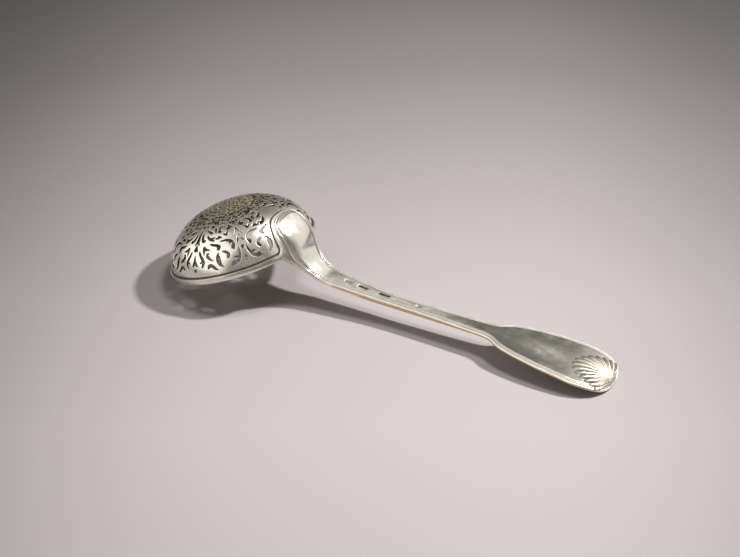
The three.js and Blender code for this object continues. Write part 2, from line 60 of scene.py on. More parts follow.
# Band round the mouth, with its flange under the tongue and its strap under the neck
BAND_HEIGHT = 2.8
MOUNT_FACE = 1.0  # how far the mount's face stands off the bowl
WING_ANGLE = math.radians(22.5)
FLANGE_RISE = 18.2
FLANGE_SQUARENESS = 2.8
CORNER_RADIUS = 1.8
STRAP_LENGTH = 23.0
STRAP_STEP = 0.12  # over which the handle's back comes down at the strap's end
WING_SWEEP = 12.0
WING_FLARE = 2.5
EDGE_RELIEF = 0.3
FACE_RELIEF = 0.09  # what polishing has taken off the faces of the mount and the handle
TIP_RELIEF = 0.3

# Handle
OVERALL_LENGTH = 205.0
TONGUE_RISE = 16.4
TONGUE_SHOULDER_RISE = 7.0
TONGUE_SQUARENESS = 2.6
HANDLE_FACE = 2.2  # how far the handle's face stands off the line of its underside
FIDDLE_THICKNESS = 1.6
FIDDLE_END_LENGTH = 16.7
FIDDLE_HALF_WIDTH = 14
FIDDLE_SQUARENESS = 2.5
CUP_LENGTH = 16.0
# Half widths: distance along the spine from the neck, or back from its tip, and the half width
NECK_WIDTHS = [(-TONGUE_SHOULDER_RISE, 9.6), (1, 9.1), (11, 6.7), (23, 5.5), (45, 4)]
FIDDLE_WIDTHS = [
    (92, 3.7),
    (64, 4.7),
    (54, 5.6),
    (47.8, 9),
    (41, 11),
    (28, 13.2),
    (FIDDLE_END_LENGTH, FIDDLE_HALF_WIDTH),
]
NECK_PULL = 9.0  # how far the curve under the neck keeps to the directions of its two ends
# Heights of the handle's underside: distance in X from the neck, or from the tip, and the height
STEM_HEIGHTS = [(17, 10.4), (38, 8.6), (66, 7.9), (92, 7.1)]
FIDDLE_HEIGHTS = [(26, 5.4), (15, 4.1), (6, 2.3), (0.6, -0.72)]

# Threads: distance in from the outline, depth below the crest, the same on the back, and how much
# tarnish they hold
THREADS = [
    (0.0, 0.75, 0.12, 0.0),
    (0.05, 0.65, 0.05, 0.0),
    (0.15, 0.55, 0.02, 0.0),
    (0.3, 0.43, 0.0, 0.0),
    (0.45, 0.36, 0.0, 0.0),
    (0.58, 0.34, 0.0, 0.0),
    (0.7, 0.38, 0.06, 0.0),
    (0.77, 0.5, 0.2, 0.7),
    (0.84, 0.6, 0.3, 1.0),
    (0.98, 0.6, 0.3, 1.0),
    (1.06, 0.44, 0.15, 0.6),
    (1.14, 0.28, 0.03, 0.0),
    (1.24, 0.2, 0.0, 0.0),
    (1.36, 0.18, 0.0, 0.0),
    (1.46, 0.24, 0.06, 0.0),
    (1.52, 0.36, 0.2, 0.7),
    (1.58, 0.42, 0.28, 1.0),
    (1.7, 0.42, 0.26, 1.0),
    (1.77, 0.26, 0.14, 0.5),
    (1.86, 0.13, 0.08, 0.0),
    (1.96, 0.08, 0.06, 0.0),
    (2.06, 0.1, 0.08, 0.0),
    (2.13, 0.2, 0.15, 0.7),
    (2.2, 0.28, 0.2, 1.0),
    (2.32, 0.27, 0.2, 1.0),
    (2.4, 0.2, 0.17, 0.4),
    (2.5, 0.17, 0.17, 0.0),
    (2.7, 0.17, 0.17, 0.0),
]
FIELD_DEPTH = 0.18
STEM_FIELD = 1.7  # half the width of the stem's field, which is rounded
STEM_CAMBER = 0.05
STEM_FULLNESS = 0.5  # how far the stem's back swells below the line of its underside
OUTLINE_SPACING = 0.5  # between the points of the outlines of the handle and the mount
FIELD_SPACING = 1.1

# Where the handle changes, each over two distances: from the neck's start, or back from the tip
ROUNDED_FROM = (4, 16)
ROUNDED_TO = (70, 50)
THINNED = (92, 47.8)

# Plain dents on the stem: distance along the handle, half length, half width, tarnish held
DENTS = [
    (27.7, 1.7, 0.8, 0.4),
    (34.9, 2.3, 0.8, 0.8),
    (45.1, 2.8, 0.75, 0.9),
    (62.1, 1.2, 0.5, 0.5),
]
DENT_DEPTH = 0.1
DENT_SQUARENESS = 5
DENT_RINGS = [(0.12, 0), (0, 0.8), (-0.15, 1), (-0.38, 1)]  # distance outside, share of the depth
DENT_MIDDLE_INSET = 1.0  # from a dent's ends to the line of points along its middle

# Wear on the handle, from 0 to 1
NECK_THREAD_WEAR = 0.15
STEM_THREAD_WEAR = 0.6  # more than the neck's
STEM_WEAR = 0.55
FIDDLE_WEAR = 0.35
WORN_THREADS = (2.3, 2.6)  # in from the outline
WORN_FROM = (14, 26)
WORN_TO = (84, 62)  # back from the tip
FIDDLE_PATCH = (30, 12)  # back from the tip, and half its length
FIDDLE_PATCH_SIDE = (-1, 5)  # off the middle line, and half its width


# Dome


def dome_table():
    """Rise along the dome's outline, with the distance from its axis and the height there."""
    turn = np.linspace(0, math.pi / 2, 6001)
    power = 2 / BOWL_FULLNESS
    out = MOUTH_RADIUS * np.cos(turn).clip(0) ** power
    up = BOWL_DEPTH * np.sin(turn) ** power
    rise = np.concatenate([[0], np.cumsum(np.hypot(np.diff(out), np.diff(up)))])
    return rise, out, up


DOME_RISE_TABLE, DOME_OUT_TABLE, DOME_UP_TABLE = dome_table()
DOME_RISE = DOME_RISE_TABLE[-1]
RIM_RADIUS = MOUTH_RADIUS + MOUNT_FACE
REST_RADIUS = RIM_RADIUS - EDGE_RELIEF
NECK_X = 2 * RIM_RADIUS * math.cos(BOWL_TILT)


def dome_out(rise):
    return np.interp(rise, DOME_RISE_TABLE, DOME_OUT_TABLE)


def tilted(points):
    """Points of the bowl's own frame in the spoon's frame."""
    cos, sin = math.cos(BOWL_TILT), math.sin(BOWL_TILT)
    x, y, z = points[..., 0], points[..., 1], points[..., 2]
    return np.stack(
        [x * cos - z * sin + RIM_RADIUS * cos, y, x * sin + z * cos + REST_RADIUS * sin],
        axis=-1,
    )


def dome_section(rise, offset):
    """Distance from the axis and height at a rise, offset outside the dome.

    Below the mouth the dome runs straight on down.
    """
    below = np.minimum(rise, 0)
    rise = np.clip(rise, 0, DOME_RISE)
    step = 0.02
    low, high = np.clip(rise - step, 0, DOME_RISE), np.clip(rise + step, 0, DOME_RISE)
    out, up = dome_out(rise), np.interp(rise, DOME_RISE_TABLE, DOME_UP_TABLE)
    d_out = dome_out(high) - dome_out(low)
    d_up = np.interp(high, DOME_RISE_TABLE, DOME_UP_TABLE) - np.interp(
        low, DOME_RISE_TABLE, DOME_UP_TABLE
    )
    length = np.hypot(d_out, d_up)
    return out + d_up / length * offset, up - d_out / length * offset + below


def on_dome(rise, angle, offset):
    out, up = dome_section(rise, offset)
    return tilted(np.stack([out * np.cos(angle), out * np.sin(angle), up], axis=-1))


# Spine, the line of the handle's underside


def through_points(points, steps):
    """A smooth line through points, whose bends spread evenly over uneven spacing."""
    points = np.array(points, float)
    ends = [2 * points[0] - points[1], *points, 2 * points[-1] - points[-2]]
    line = []
    for p0, p1, p2, p3 in zip(ends, ends[1:], ends[2:], ends[3:]):
        a, b, c = (math.sqrt(np.linalg.norm(q - p)) for p, q in ((p0, p1), (p1, p2), (p2, p3)))
        leave = ((p1 - p0) / a - (p2 - p0) / (a + b) + (p2 - p1) / b) * b
        arrive = ((p2 - p1) / b - (p3 - p1) / (b + c) + (p3 - p2) / c) * b
        for t in np.arange(steps) / steps:
            square = -3 * p1 + 3 * p2 - 2 * leave - arrive
            cube = 2 * p1 - 2 * p2 + leave + arrive
            line.append(p1 + leave * t + square * t**2 + cube * t**3)
    line.append(points[-1])
    return np.array(line)


def spine_table():
    stem = [(NECK_X + along, height) for along, height in STEM_HEIGHTS]
    stem += [(OVERALL_LENGTH - back, height) for back, height in FIDDLE_HEIGHTS]
    stem = through_points(stem, 60)
    start = tilted(np.array([MOUTH_RADIUS, 0, 0]))[[0, 2]]
    down = np.array([math.sin(BOWL_TILT), -math.cos(BOWL_TILT)])
    along = (stem[1] - stem[0]) / np.linalg.norm(stem[1] - stem[0])
    t = np.linspace(0, 1, 200)[:, None]
    controls = [start, start + down * NECK_PULL, stem[0] - along * NECK_PULL, stem[0]]
    weights = [(1 - t) ** 3, 3 * t * (1 - t) ** 2, 3 * t**2 * (1 - t), t**3]
    neck = sum(weight * control for weight, control in zip(weights, controls))
    line = np.concatenate([neck[:-1], stem])
    distance = np.concatenate([[0], np.cumsum(np.linalg.norm(np.diff(line, axis=0), axis=1))])
    return distance, line


SPINE_DISTANCE, SPINE_LINE = spine_table()
SPINE_LENGTH = SPINE_DISTANCE[-1]


def spine_at(distance):
    return np.stack([np.interp(distance, SPINE_DISTANCE, SPINE_LINE[:, k]) for k in (0, 1)], -1)


def smooth_step(value, low, high):
    share = np.clip((value - low) / (high - low), 0, 1)
    return share * share * (3 - 2 * share)


def toward_tip(distance, far, near):
    """Rises from 0 at `far` back from the tip to 1 at `near` back from it."""
    return smooth_step(distance, SPINE_LENGTH - far, SPINE_LENGTH - near)


def along_handle(distance, side, offset):
    """A point along the spine, or up the dome where the distance is negative."""
    distance, side, offset = np.broadcast_arrays(
        np.asarray(distance, float), np.asarray(side, float), np.asarray(offset, float)
    )
    out, up = dome_section(np.maximum(-distance, 0), offset)
    radial = np.sqrt(np.maximum(out**2 - side**2, 0))
    upper = tilted(np.stack([radial, side, up], axis=-1))
    reach = np.clip(distance, 0, SPINE_LENGTH)
    point = spine_at(reach)
    ahead, behind = (spine_at(np.clip(reach + step, 0, SPINE_LENGTH)) for step in (0.3, -0.3))
    along = (ahead - behind) / np.linalg.norm(ahead - behind, axis=-1, keepdims=True)
    radius = MOUTH_RADIUS + offset
    cup = 1 - smooth_step(reach, 0, CUP_LENGTH)
    rise = offset - cup * (radius - np.sqrt(np.maximum(radius**2 - side**2, 0)))
    lower = np.stack(
        [point[..., 0] - along[..., 1] * rise, side, point[..., 1] + along[..., 0] * rise], -1
    )
    past = distance - reach
    lower[..., 0] += np.where(distance > 0, past, 0)
    return np.where((distance < 0)[..., None], upper, lower)


# Sheets: a piece drawn flat, with its outline and holes, and then laid on its surface


class Sheet:
    """A wall between a face and a back, drawn in the two flat coordinates of `place`.

    `place(x, y, offset)` lays flat points on the surface. Each outline is followed into the metal
    by rings, given as (distance in, drop of the face, drop of the back, tarnish and shade held),
    where the last says how much tarnish and painted shade a place holds, from 0 to 1.
    """

    def __init__(self, place):
        self.place = place
        self.points = []
        self.values = []
        self.edges = []
        self.borders = set()

    def inward(self, loop, clockwise):
        """Flat steps that lead a millimetre into the metal from each point of a loop."""
        x, y = loop[:, 0], loop[:, 1]
        flat = np.zeros(len(loop))
        here = self.place(x, y, flat)
        small = 1e-3
        across = (self.place(x + small, y, flat) - here) / small
        up = (self.place(x, y + small, flat) - here) / small
        along = np.roll(here, -1, axis=0) - np.roll(here, 1, axis=0)
        along /= np.linalg.norm(along, axis=1, keepdims=True)
        normal = np.cross(across, up)
        normal /= np.linalg.norm(normal, axis=1, keepdims=True)
        step = np.cross(normal, along) * (-1 if clockwise else 1)
        a, b, c = (np.sum(p * q, axis=1) for p, q in ((across, across), (across, up), (up, up)))
        d, e = (np.sum(p * step, axis=1) for p in (across, up))
        size = a * c - b * b
        return np.stack([(c * d - b * e) / size, (a * e - b * d) / size], axis=-1)

    def add_ring(self, points, values, is_border=False, is_closed=True):
        first, count = len(self.points), len(points)
        self.points += list(points)
        self.values += [values] * count
        for place in range(count if is_closed else count - 1):
            if is_border:
                self.borders.add(len(self.edges))
            self.edges.append((first + place, first + (place + 1) % count))

    def add_loop(self, loop, is_hole, rings):
        loop = np.array(loop, float)
        x, y = loop[:, 0], loop[:, 1]
        area = np.sum(x * np.roll(y, -1) - y * np.roll(x, -1))
        step = self.inward(loop, (area < 0) != is_hole)
        for number, (inset, *values) in enumerate(rings):
            self.add_ring(loop + step * inset, values, is_border=number == 0)

    def add_fill(self, points, clearance, values):
        """Adds flat points that keep `clearance` from every ring."""
        rings = np.array(self.points)
        laid = self.place(rings[:, 0], rings[:, 1], np.zeros(len(rings)))
        tree = kdtree.KDTree(len(laid))
        for index, point in enumerate(laid):
            tree.insert(point, index)
        tree.balance()
        points = np.array(points, float)
        laid = self.place(points[:, 0], points[:, 1], np.zeros(len(points)))
        for point, place in zip(points, laid):
            if tree.find(place)[2] > clearance:
                self.points.append(point)
                self.values.append(values)

    def triangulate(self, seed):
        """Flat points, their values, triangles of the metal and the edges of its outlines.

        The metal is found by spreading from the triangle nearest to `seed`.
        """
        points = [Vector(point) for point in self.points]
        made = delaunay_2d_cdt(points, self.edges, [], 0, 1e-7, True)
        vertices, edges, faces, from_vertices, from_edges, _ = made
        flat = np.array([tuple(v) for v in vertices])
        values = np.zeros((len(flat), 3))
        crossings = []
        for index, sources in enumerate(from_vertices):
            if sources:
                values[index] = np.mean([self.values[source] for source in sources], axis=0)
            else:
                crossings.append(index)
        beside = {index: [] for index in crossings}
        for a, b in edges:
            for here, there in ((a, b), (b, a)):
                if here in beside and there not in beside:
                    beside[here].append(there)
        for index, others in beside.items():
            if others:
                values[index] = values[others].mean(axis=0)
        border = {
            tuple(sorted(edge))
            for edge, sources in zip(edges, from_edges)
            if any(source in self.borders for source in sources)
        }
        owners = {}
        for number, face in enumerate(faces):
            for a, b in zip(face, face[1:] + face[:1]):
                owners.setdefault((min(a, b), max(a, b)), []).append(number)
        middles = np.array([flat[list(face)].mean(axis=0) for face in faces])
        start = int(np.argmin(np.linalg.norm(middles - np.array(seed), axis=1)))
        kept, waiting = {start}, [start]
        while waiting:
            face = faces[waiting.pop()]
            for a, b in zip(face, face[1:] + face[:1]):
                edge = (min(a, b), max(a, b))
                if edge in border:
                    continue
                for owner in owners[edge]:
                    if owner not in kept:
                        kept.add(owner)
                        waiting.append(owner)
        x, y = flat[:, 0], flat[:, 1]
        turned = []
        for number in sorted(kept):
            a, b, c = faces[number]
            sense = (x[b] - x[a]) * (y[c] - y[a]) - (y[b] - y[a]) * (x[c] - x[a])
            turned.append((a, b, c) if sense > 0 else (a, c, b))
        return flat, values, turned, border

    def mesh(self, name, face_offset, back_offset, seed):
        """The closed mesh, and the flat points that its face and then its back are made from.

        The offsets are functions of the flat coordinates and of the drop.
        """
        flat, values, faces, border = self.triangulate(seed)
        used = sorted({corner for face in faces for corner in face})
        new = {old: index for index, old in enumerate(used)}
        flat, values = flat[used], values[used]
        faces = [tuple(new[corner] for corner in face) for face in faces]
        x, y = flat[:, 0], flat[:, 1]
        front = self.place(x, y, face_offset(x, y, values[:, 0]))
        back = self.place(x, y, back_offset(x, y, values[:, 1]))
        count = len(flat)
        triangles = list(faces)
        triangles += [(a + count, c + count, b + count) for a, b, c in faces]
        for face in faces:
            for a, b in zip(face, face[1:] + face[:1]):
                old = (min(used[a], used[b]), max(used[a], used[b]))
                if old in border:
                    triangles.append((b, a, a + count, b + count))
        mesh = bpy.data.meshes.new(name)
        points = np.concatenate([front, back])
        points[:, 0] -= MIDDLE
        mesh.from_pydata((points * MM).tolist(), [], triangles)
        store(mesh, "hollow", np.concatenate([values[:, 2]] * 2))
        is_wall = np.arange(len(triangles)) >= 2 * len(faces)
        mesh.polygons.foreach_set("material_index", is_wall.astype(np.int32))
        return mesh, flat


def store(mesh, name, values):
    """Keeps a number for each point of a mesh, for its material."""
    attribute = mesh.attributes.new(name, "FLOAT", "POINT")
    attribute.data.foreach_set("value", np.asarray(values, np.float32))


def finish_piece(mesh, node, materials, sharp=38):
    """Puts a mesh in the scene, in place of a CAD node where one is named.

    Its faces keep the numbers of their materials, which clearing the list would forget.
    """
    parts = np.zeros(len(mesh.polygons), np.int32)
    mesh.polygons.foreach_get("material_index", parts)
    mesh.materials.clear()
    for material in materials:
        mesh.materials.append(material)
    mesh.polygons.foreach_set("material_index", parts)
    mesh.shade_smooth()
    mesh.set_sharp_from_angle(angle=math.radians(sharp))
    mesh.update()
    piece = bpy.data.objects.new(mesh.name, mesh)
    bpy.context.scene.collection.objects.link(piece)
    if node:
        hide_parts(node)
    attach(piece, "root")
    return piece


# Piercing pattern, half a repeat. Each leaf is a stroke, read off the unrolled bowl as
# (degrees round it, rise, half width), and touching strokes cut one opening. The degrees run from
# the axis of a vase to the axis of the next palmette, and the other half is their mirror image.
PATTERN_REPEATS = 4
VASE_READING = -2.7
PALMETTE_READING = 41.1
READING_SCALE = 180 / PATTERN_REPEATS / (PALMETTE_READING - VASE_READING)

LEAVES = [
    # arrow prong, long leaf, barb
    [(-2.5, 10.2, 0.3), (-1.6, 8.8, 0.5), (-0.2, 7.4, 0.2)],
    [
        (1.7, 14.2, 0.08), (2.2, 13.3, 0.38), (3.3, 12, 0.45), (4.9, 10.7, 0.5), (6, 9.5, 0.62),
        (5.9, 8.6, 0.6), (4.9, 7.5, 0.38), (3.8, 6.8, 0.08),
    ],
    [(5.3, 9.6, 0.4), (3.9, 9.2, 0.3), (2.4, 8.9, 0.08)],
    # forked leaf
    [(5.2, 15.4, 0.25), (6.3, 15.4, 0.6), (7.3, 14.8, 0.6), (9.5, 14.4, 0.38), (12.9, 14, 0.06)],
    [(6.1, 15.6, 0.4), (6.6, 14.6, 0.55), (6.7, 13.4, 0.38), (6.7, 12.1, 0.06)],
    # commas
    [
        (11.9, 12.4, 0.1), (10.6, 12.5, 0.45), (10, 11.7, 0.55), (10.9, 10.9, 0.5),
        (12.6, 10, 0.4), (15.3, 9.1, 0.06),
    ],
    [
        (10, 6, 0.15), (10.2, 6.6, 0.5), (11.1, 7.3, 0.58), (12.6, 7.3, 0.6), (14.3, 6.7, 0.5),
        (16, 5.7, 0.4), (18, 5, 0.08),
    ],
    # the big scroll
    [
        (20.8, 12.1, 0.06), (19.7, 11.3, 0.4), (19.4, 10.2, 0.75), (19.7, 9, 0.9),
        (20.1, 7.8, 0.75), (20.9, 6.8, 0.5), (22, 6.1, 0.25), (23.8, 5.5, 0.05),
    ],
    [
        (23.8, 12.35, 0.06), (25.5, 12.05, 0.3), (27.3, 11.5, 0.42), (28.3, 10.8, 0.55),
        (28.5, 10, 0.62), (27.9, 9.3, 0.6), (27.3, 8.9, 0.25),
    ],
    [
        (37.6, 12, 0.06), (37.7, 10.8, 0.35), (37.3, 9.3, 0.48), (36.6, 8, 0.52),
        (35.4, 6.8, 0.6), (33.5, 6.1, 0.62), (31.3, 5.8, 0.5), (28.5, 5.6, 0.08),
    ],
    [(36.9, 8.3, 0.35), (34.6, 8.4, 0.28), (32.3, 8.6, 0.06)],
    [(32.7, 6.2, 0.4), (30.9, 6.7, 0.42), (29.8, 6.3, 0.15)],
    # leaf over the scroll
    [
        (22.3, 17.15, 0.06), (25.5, 17.05, 0.28), (28.5, 17.05, 0.34), (31, 16.55, 0.48),
        (33, 16.1, 0.38), (34.9, 15.8, 0.08),
    ],
    [(32, 16.2, 0.35), (31.8, 15.2, 0.28), (31.3, 14.3, 0.06)],
    [
        (33.1, 15.8, 0.3), (34.3, 14.9, 0.45), (34.3, 13.9, 0.68), (33.9, 13.1, 0.75),
        (34.3, 12.4, 0.4), (34.4, 11.7, 0.06),
    ],
    # the stroke by the comma
    [
        (12.3, 16.9, 0.06), (14.5, 16.3, 0.35), (17, 15.9, 0.42), (19.5, 15.5, 0.5),
        (21.2, 14.6, 0.72), (21, 13.7, 0.7), (20.7, 13.1, 0.25),
    ],
    # chevron
    [(41.1, 18, 0.08), (40.6, 17, 0.38), (39.9, 16, 0.5), (39, 15.2, 0.4), (37.9, 14.4, 0.1)],
    # foot of the plume, its slots
    [(-2.2, 18.6, 0.3), (-1.2, 17.8, 0.4), (0.3, 16.7, 0.08)],
    [
        (1.8, 22.8, 0.08), (2, 21.4, 0.35), (2.7, 19.9, 0.5), (4.2, 18.7, 0.62), (5.6, 18.6, 0.6),
        (7.2, 19, 0.15),
    ],
    [
        (8, 21.4, 0.06), (9.3, 20.4, 0.3), (11, 19.6, 0.45), (13, 19, 0.55), (15, 18.4, 0.45),
        (17.3, 17.8, 0.06),
    ],
    [(13.5, 19.1, 0.4), (15.8, 19.4, 0.38), (17.7, 19.9, 0.12)],
    [
        (17.7, 18.9, 0.1), (19.4, 18.8, 0.32), (21.5, 19, 0.6), (23.5, 18.9, 0.42),
        (25.7, 19, 0.08),
    ],
    [(21.3, 19, 0.5), (21.6, 19.5, 0.4), (22.1, 20.1, 0.1)],
    [
        (5.4, 24.3, 0.06), (8, 23.5, 0.3), (10.5, 22.9, 0.42), (12.7, 22.2, 0.5),
        (14.2, 21.8, 0.12),
    ],
    [(2.4, 26.8, 0.06), (4.4, 25.9, 0.3), (6.8, 25.6, 0.35), (8.6, 25.1, 0.1)],
    # thin cuts by the chevron
    [
        (40.9, 22.1, 0.1), (39.8, 20.4, 0.15), (38.7, 18.9, 0.28), (38.1, 18.3, 0.42),
        (37.2, 17.9, 0.1),
    ],
    [(32.4, 21.6, 0.08), (31, 20.7, 0.2), (30.2, 19.9, 0.42), (29.8, 19, 0.1)],
    [(26.5, 20.7, 0.08), (28, 20.2, 0.18), (28.6, 19.3, 0.08)],
    # upper scrolls
    [
        (26.8, 24.9, 0.08), (24.4, 24.5, 0.36), (22.5, 23.6, 0.42), (21.9, 22.6, 0.5),
        (23.1, 21.9, 0.5), (25.2, 21.8, 0.12),
    ],
    [
        (33.2, 24.9, 0.08), (34.6, 23.6, 0.42), (34.5, 22.7, 0.5), (33.1, 22.5, 0.45),
        (31.2, 23.6, 0.1),
    ],
    [
        (30, 28.9, 0.1), (30.6, 28.1, 0.4), (33, 27.7, 0.5), (35.4, 28, 0.45), (36.8, 29, 0.3),
        (37.3, 29.9, 0.08),
    ],
    [
        (19.5, 30.4, 0.1), (17.8, 29.4, 0.5), (17.4, 28.2, 0.5), (18.4, 27.1, 0.36),
        (20.3, 26.5, 0.1),
    ],
    [(9.4, 25.9, 0.12), (11.6, 25.9, 0.5), (13.2, 25.6, 0.5), (15, 25.2, 0.12)],
    [(16.6, 24.6, 0.08), (17.6, 23.9, 0.4), (18.2, 22.9, 0.42), (17.7, 22, 0.1)],
    [(24.6, 26.9, 0.1), (26.2, 26.8, 0.42), (28, 26.3, 0.42), (29.2, 25.5, 0.1)],
    [(38.8, 25.9, 0.15), (40.2, 26, 0.4), (41.2, 26.1, 0.4)],
    [(35.9, 26.6, 0.08), (36.9, 26, 0.3), (37, 25, 0.08)],
    [(6.4, 27.9, 0.1), (7, 28.7, 0.42), (8.3, 29.5, 0.5), (9.4, 30.4, 0.12)],
    [(11, 29.3, 0.1), (12.4, 28.4, 0.42), (14, 27.7, 0.4), (15, 27, 0.1)],
    [(22.4, 29.4, 0.1), (23.8, 29.3, 0.42), (25.6, 28.9, 0.4), (26.6, 28.2, 0.1)],
    [(14.2, 31.4, 0.08), (17.4, 31.6, 0.36), (20.6, 31.4, 0.46), (23.4, 31, 0.1)],
    [(25.2, 31.6, 0.1), (26.8, 31, 0.42), (28.2, 30.1, 0.1)],
    [(29, 32.5, 0.1), (31.4, 32.2, 0.42), (33.8, 31.6, 0.1)],
    [(39.2, 30.6, 0.1), (38.4, 31.4, 0.45), (36.2, 32.2, 0.12)],
    [(-0.6, 28.6, 0.1), (1, 28.6, 0.4), (3.2, 28, 0.4), (4.4, 27.4, 0.1)],
    [(1.6, 31.2, 0.1), (3.4, 31.1, 0.4), (6, 30.9, 0.4), (7.6, 31.6, 0.1)],
    [(9.8, 32.3, 0.1), (11.4, 31.6, 0.42), (12.6, 30.4, 0.1)],
]
# Leaves on an axis: its reading, and the rises and half widths
AXIS_LEAVES = [
    (VASE_READING, [(12.5, 0.06), (11, 0.35), (9.5, 0.62), (8.6, 0.7), (8.1, 0.3)]),
    (VASE_READING, [(17, 0.08), (16, 0.55), (15, 1), (14.3, 1.05), (14, 0.7)]),
    (VASE_READING, [(24.2, 0.06), (22, 0.4), (20, 0.62), (18.4, 0.85), (17.6, 0.4)]),
    (VASE_READING, [(26.9, 0.1), (26.2, 0.42), (25.3, 0.1)]),
    (VASE_READING, [(31.2, 0.1), (30.4, 0.42), (29.6, 0.1)]),
    (PALMETTE_READING, [(8.2, 0.08), (7.4, 0.45), (6.6, 0.85), (6, 0.8), (5.7, 0.35)]),
    (PALMETTE_READING, [(12.5, 0.25), (12.1, 0.6), (11.5, 0.68), (11, 0.3)]),
    (PALMETTE_READING, [(28.3, 0.08), (27.2, 0.4), (26, 0.5), (25, 0.4), (24.2, 0.08)]),
    (PALMETTE_READING, [(32.6, 0.1), (31.6, 0.42), (30.4, 0.1)]),
]
# Round holes: degrees, rise and radius
DOTS = [
    (28.6, 24.6, 0.3),
    (14.6, 29.8, 0.34),
    (36.9, 23.4, 0.26),
    (20.6, 24.9, 0.3),
    (39.4, 29.2, 0.3),
    (9.6, 27.2, 0.32),
    (33.4, 30.2, 0.34),
    (21.3, 27.9, 0.3),
    (37.7, 20.9, 0.2),
]
AXIS_DOTS = [(VASE_READING, 5.9, 0.78)]
# Rings of curled holes near the top: rise, holes, turn of each hole, half length and half width
CROWN_RINGS = [
    (33.8, 28, 0.6, 1.1, 0.52),
    (36.0, 22, -0.5, 1.08, 0.52),
    (38.2, 16, 0.7, 1.05, 0.52),
    (40.4, 10, -0.4, 1.0, 0.5),
    (42.5, 5, 0.2, 0.75, 0.5),
]
CROWN_HOLE_SIDES = 14
CROWN_HOLE_WIDTH = 0.72
CROWN_HOLE_TAPER = 0.42
CROWN_HOLE_BEND = 0.55
CROWN_HOLE_STRAY = 0.25  # how far a hole is turned at most from its ring's own turn
CROWN_HOLE_BACK = math.pi - 0.9  # how much more every other hole is turned
PATTERN_TURN = math.radians(-3.3)
PIERCING_MARGIN = 0.9
LEAF_SPACING = 0.36  # between the points of a leaf's outline
LEAF_SWELL = 0.1  # what cutting and wear have added to each leaf's half width
DOT_SIDES = 10


def pressed(angle, rise):
    """The dome pressed flat from above: its rise is the distance in from the edge of a disc."""
    distance = DOME_RISE - rise
    return np.stack([distance * np.cos(angle), distance * np.sin(angle)], axis=-1)


def flat_point(reading, rise):
    """A reading as millimetres round the bowl from the vase's axis, and rise.

    The degrees are rounded to a tenth, which is as near as they could be read.
    """
    degrees = round((reading - VASE_READING) * READING_SCALE, 1)
    return np.array([math.radians(degrees) * float(dome_out(rise)), rise])


def from_flat(outline):
    """A flat outline, in millimetres along the ring and of rise, as pressed points."""
    outline = np.array(outline)
    return pressed(outline[:, 0] / dome_out(outline[:, 1]), outline[:, 1])


def leaf_outline(stroke):
    controls = [(*flat_point(reading, rise), half) for reading, rise, half in stroke]
    line = through_points(controls, 6)
    along = np.gradient(line[:, :2], axis=0)
    along /= np.linalg.norm(along, axis=1, keepdims=True)
    reach = (line[:, 2] + LEAF_SWELL).clip(0.04)[:, None]
    across = np.stack([-along[:, 1], along[:, 0]], axis=-1) * reach
    outline = np.concatenate([line[:, :2] + across, (line[:, :2] - across)[::-1]])
    return from_flat(evenly_spaced(outline, LEAF_SPACING))


def dot_outline(reading, rise, radius):
    middle = flat_point(reading, rise)
    turn = np.arange(DOT_SIDES) / DOT_SIDES * FULL_TURN
    return from_flat(middle + radius * np.stack([np.cos(turn), np.sin(turn)], axis=-1))


def outline_object(name, loops, paired):
    """Outlines as a mesh of edges, marked with whether each has a mirrored twin."""
    points, edges, marks = [], [], []
    for loop, twin in zip(loops, paired):
        first = len(points)
        points += [(x, y, 0) for x, y in loop]
        edges += [(first + k, first + (k + 1) % len(loop)) for k in range(len(loop))]
        marks += [twin] * len(loop)
    mesh = bpy.data.meshes.new(name)
    mesh.from_pydata(points, edges, [])
    mesh.attributes.new("paired", "BOOLEAN", "POINT").data.foreach_set("value", marks)
    drawn = bpy.data.objects.new(name, mesh)
    bpy.context.scene.collection.objects.link(drawn)
    return drawn


def new_tree(name, inputs):
    """A Geometry Nodes tree with a geometry input and output and named inputs."""
    tree = bpy.data.node_groups.new(name, "GeometryNodeTree")
    tree.interface.new_socket("Geometry", in_out="INPUT", socket_type="NodeSocketGeometry")
    for label, kind, value in inputs:
        socket = tree.interface.new_socket(label, in_out="INPUT", socket_type=kind)
        socket.default_value = value
    tree.interface.new_socket("Geometry", in_out="OUTPUT", socket_type="NodeSocketGeometry")
    return tree, tree.nodes.new("NodeGroupInput"), tree.nodes.new("NodeGroupOutput")


def joined(tree, source, target):
    """Links an output to an input, or sets the input to a plain value."""
    if hasattr(source, "is_output"):
        tree.links.new(source, target)
    else:
        target.default_value = source


def add_node(tree, kind, inputs, **settings):
    """A node with its settings made, and its inputs linked or set."""
    node = tree.nodes.new(kind)
    for name, value in settings.items():
        setattr(node, name, value)
    for name, value in inputs.items():
        joined(tree, value, node.inputs[name])
    return node


def coordinates(tree, vector):
    return add_node(tree, "ShaderNodeSeparateXYZ", {0: vector}).outputs


def combined(tree, **values):
    return add_node(tree, "ShaderNodeCombineXYZ", values).outputs[0]


def copies(tree, points, shape, angle):
    """Copies of a shape on points, each turned about Z."""
    inputs = {"Points": points, "Instance": shape, "Rotation": combined(tree, Z=angle)}
    return add_node(tree, "GeometryNodeInstanceOnPoints", inputs).outputs["Instances"]


def calculate(tree, operation, *values):
    """A Math node whose inputs are sockets or numbers."""
    node = tree.nodes.new("ShaderNodeMath")
    node.operation = operation
    for socket, value in zip(node.inputs, values):
        joined(tree, value, socket)
    return node.outputs[0]


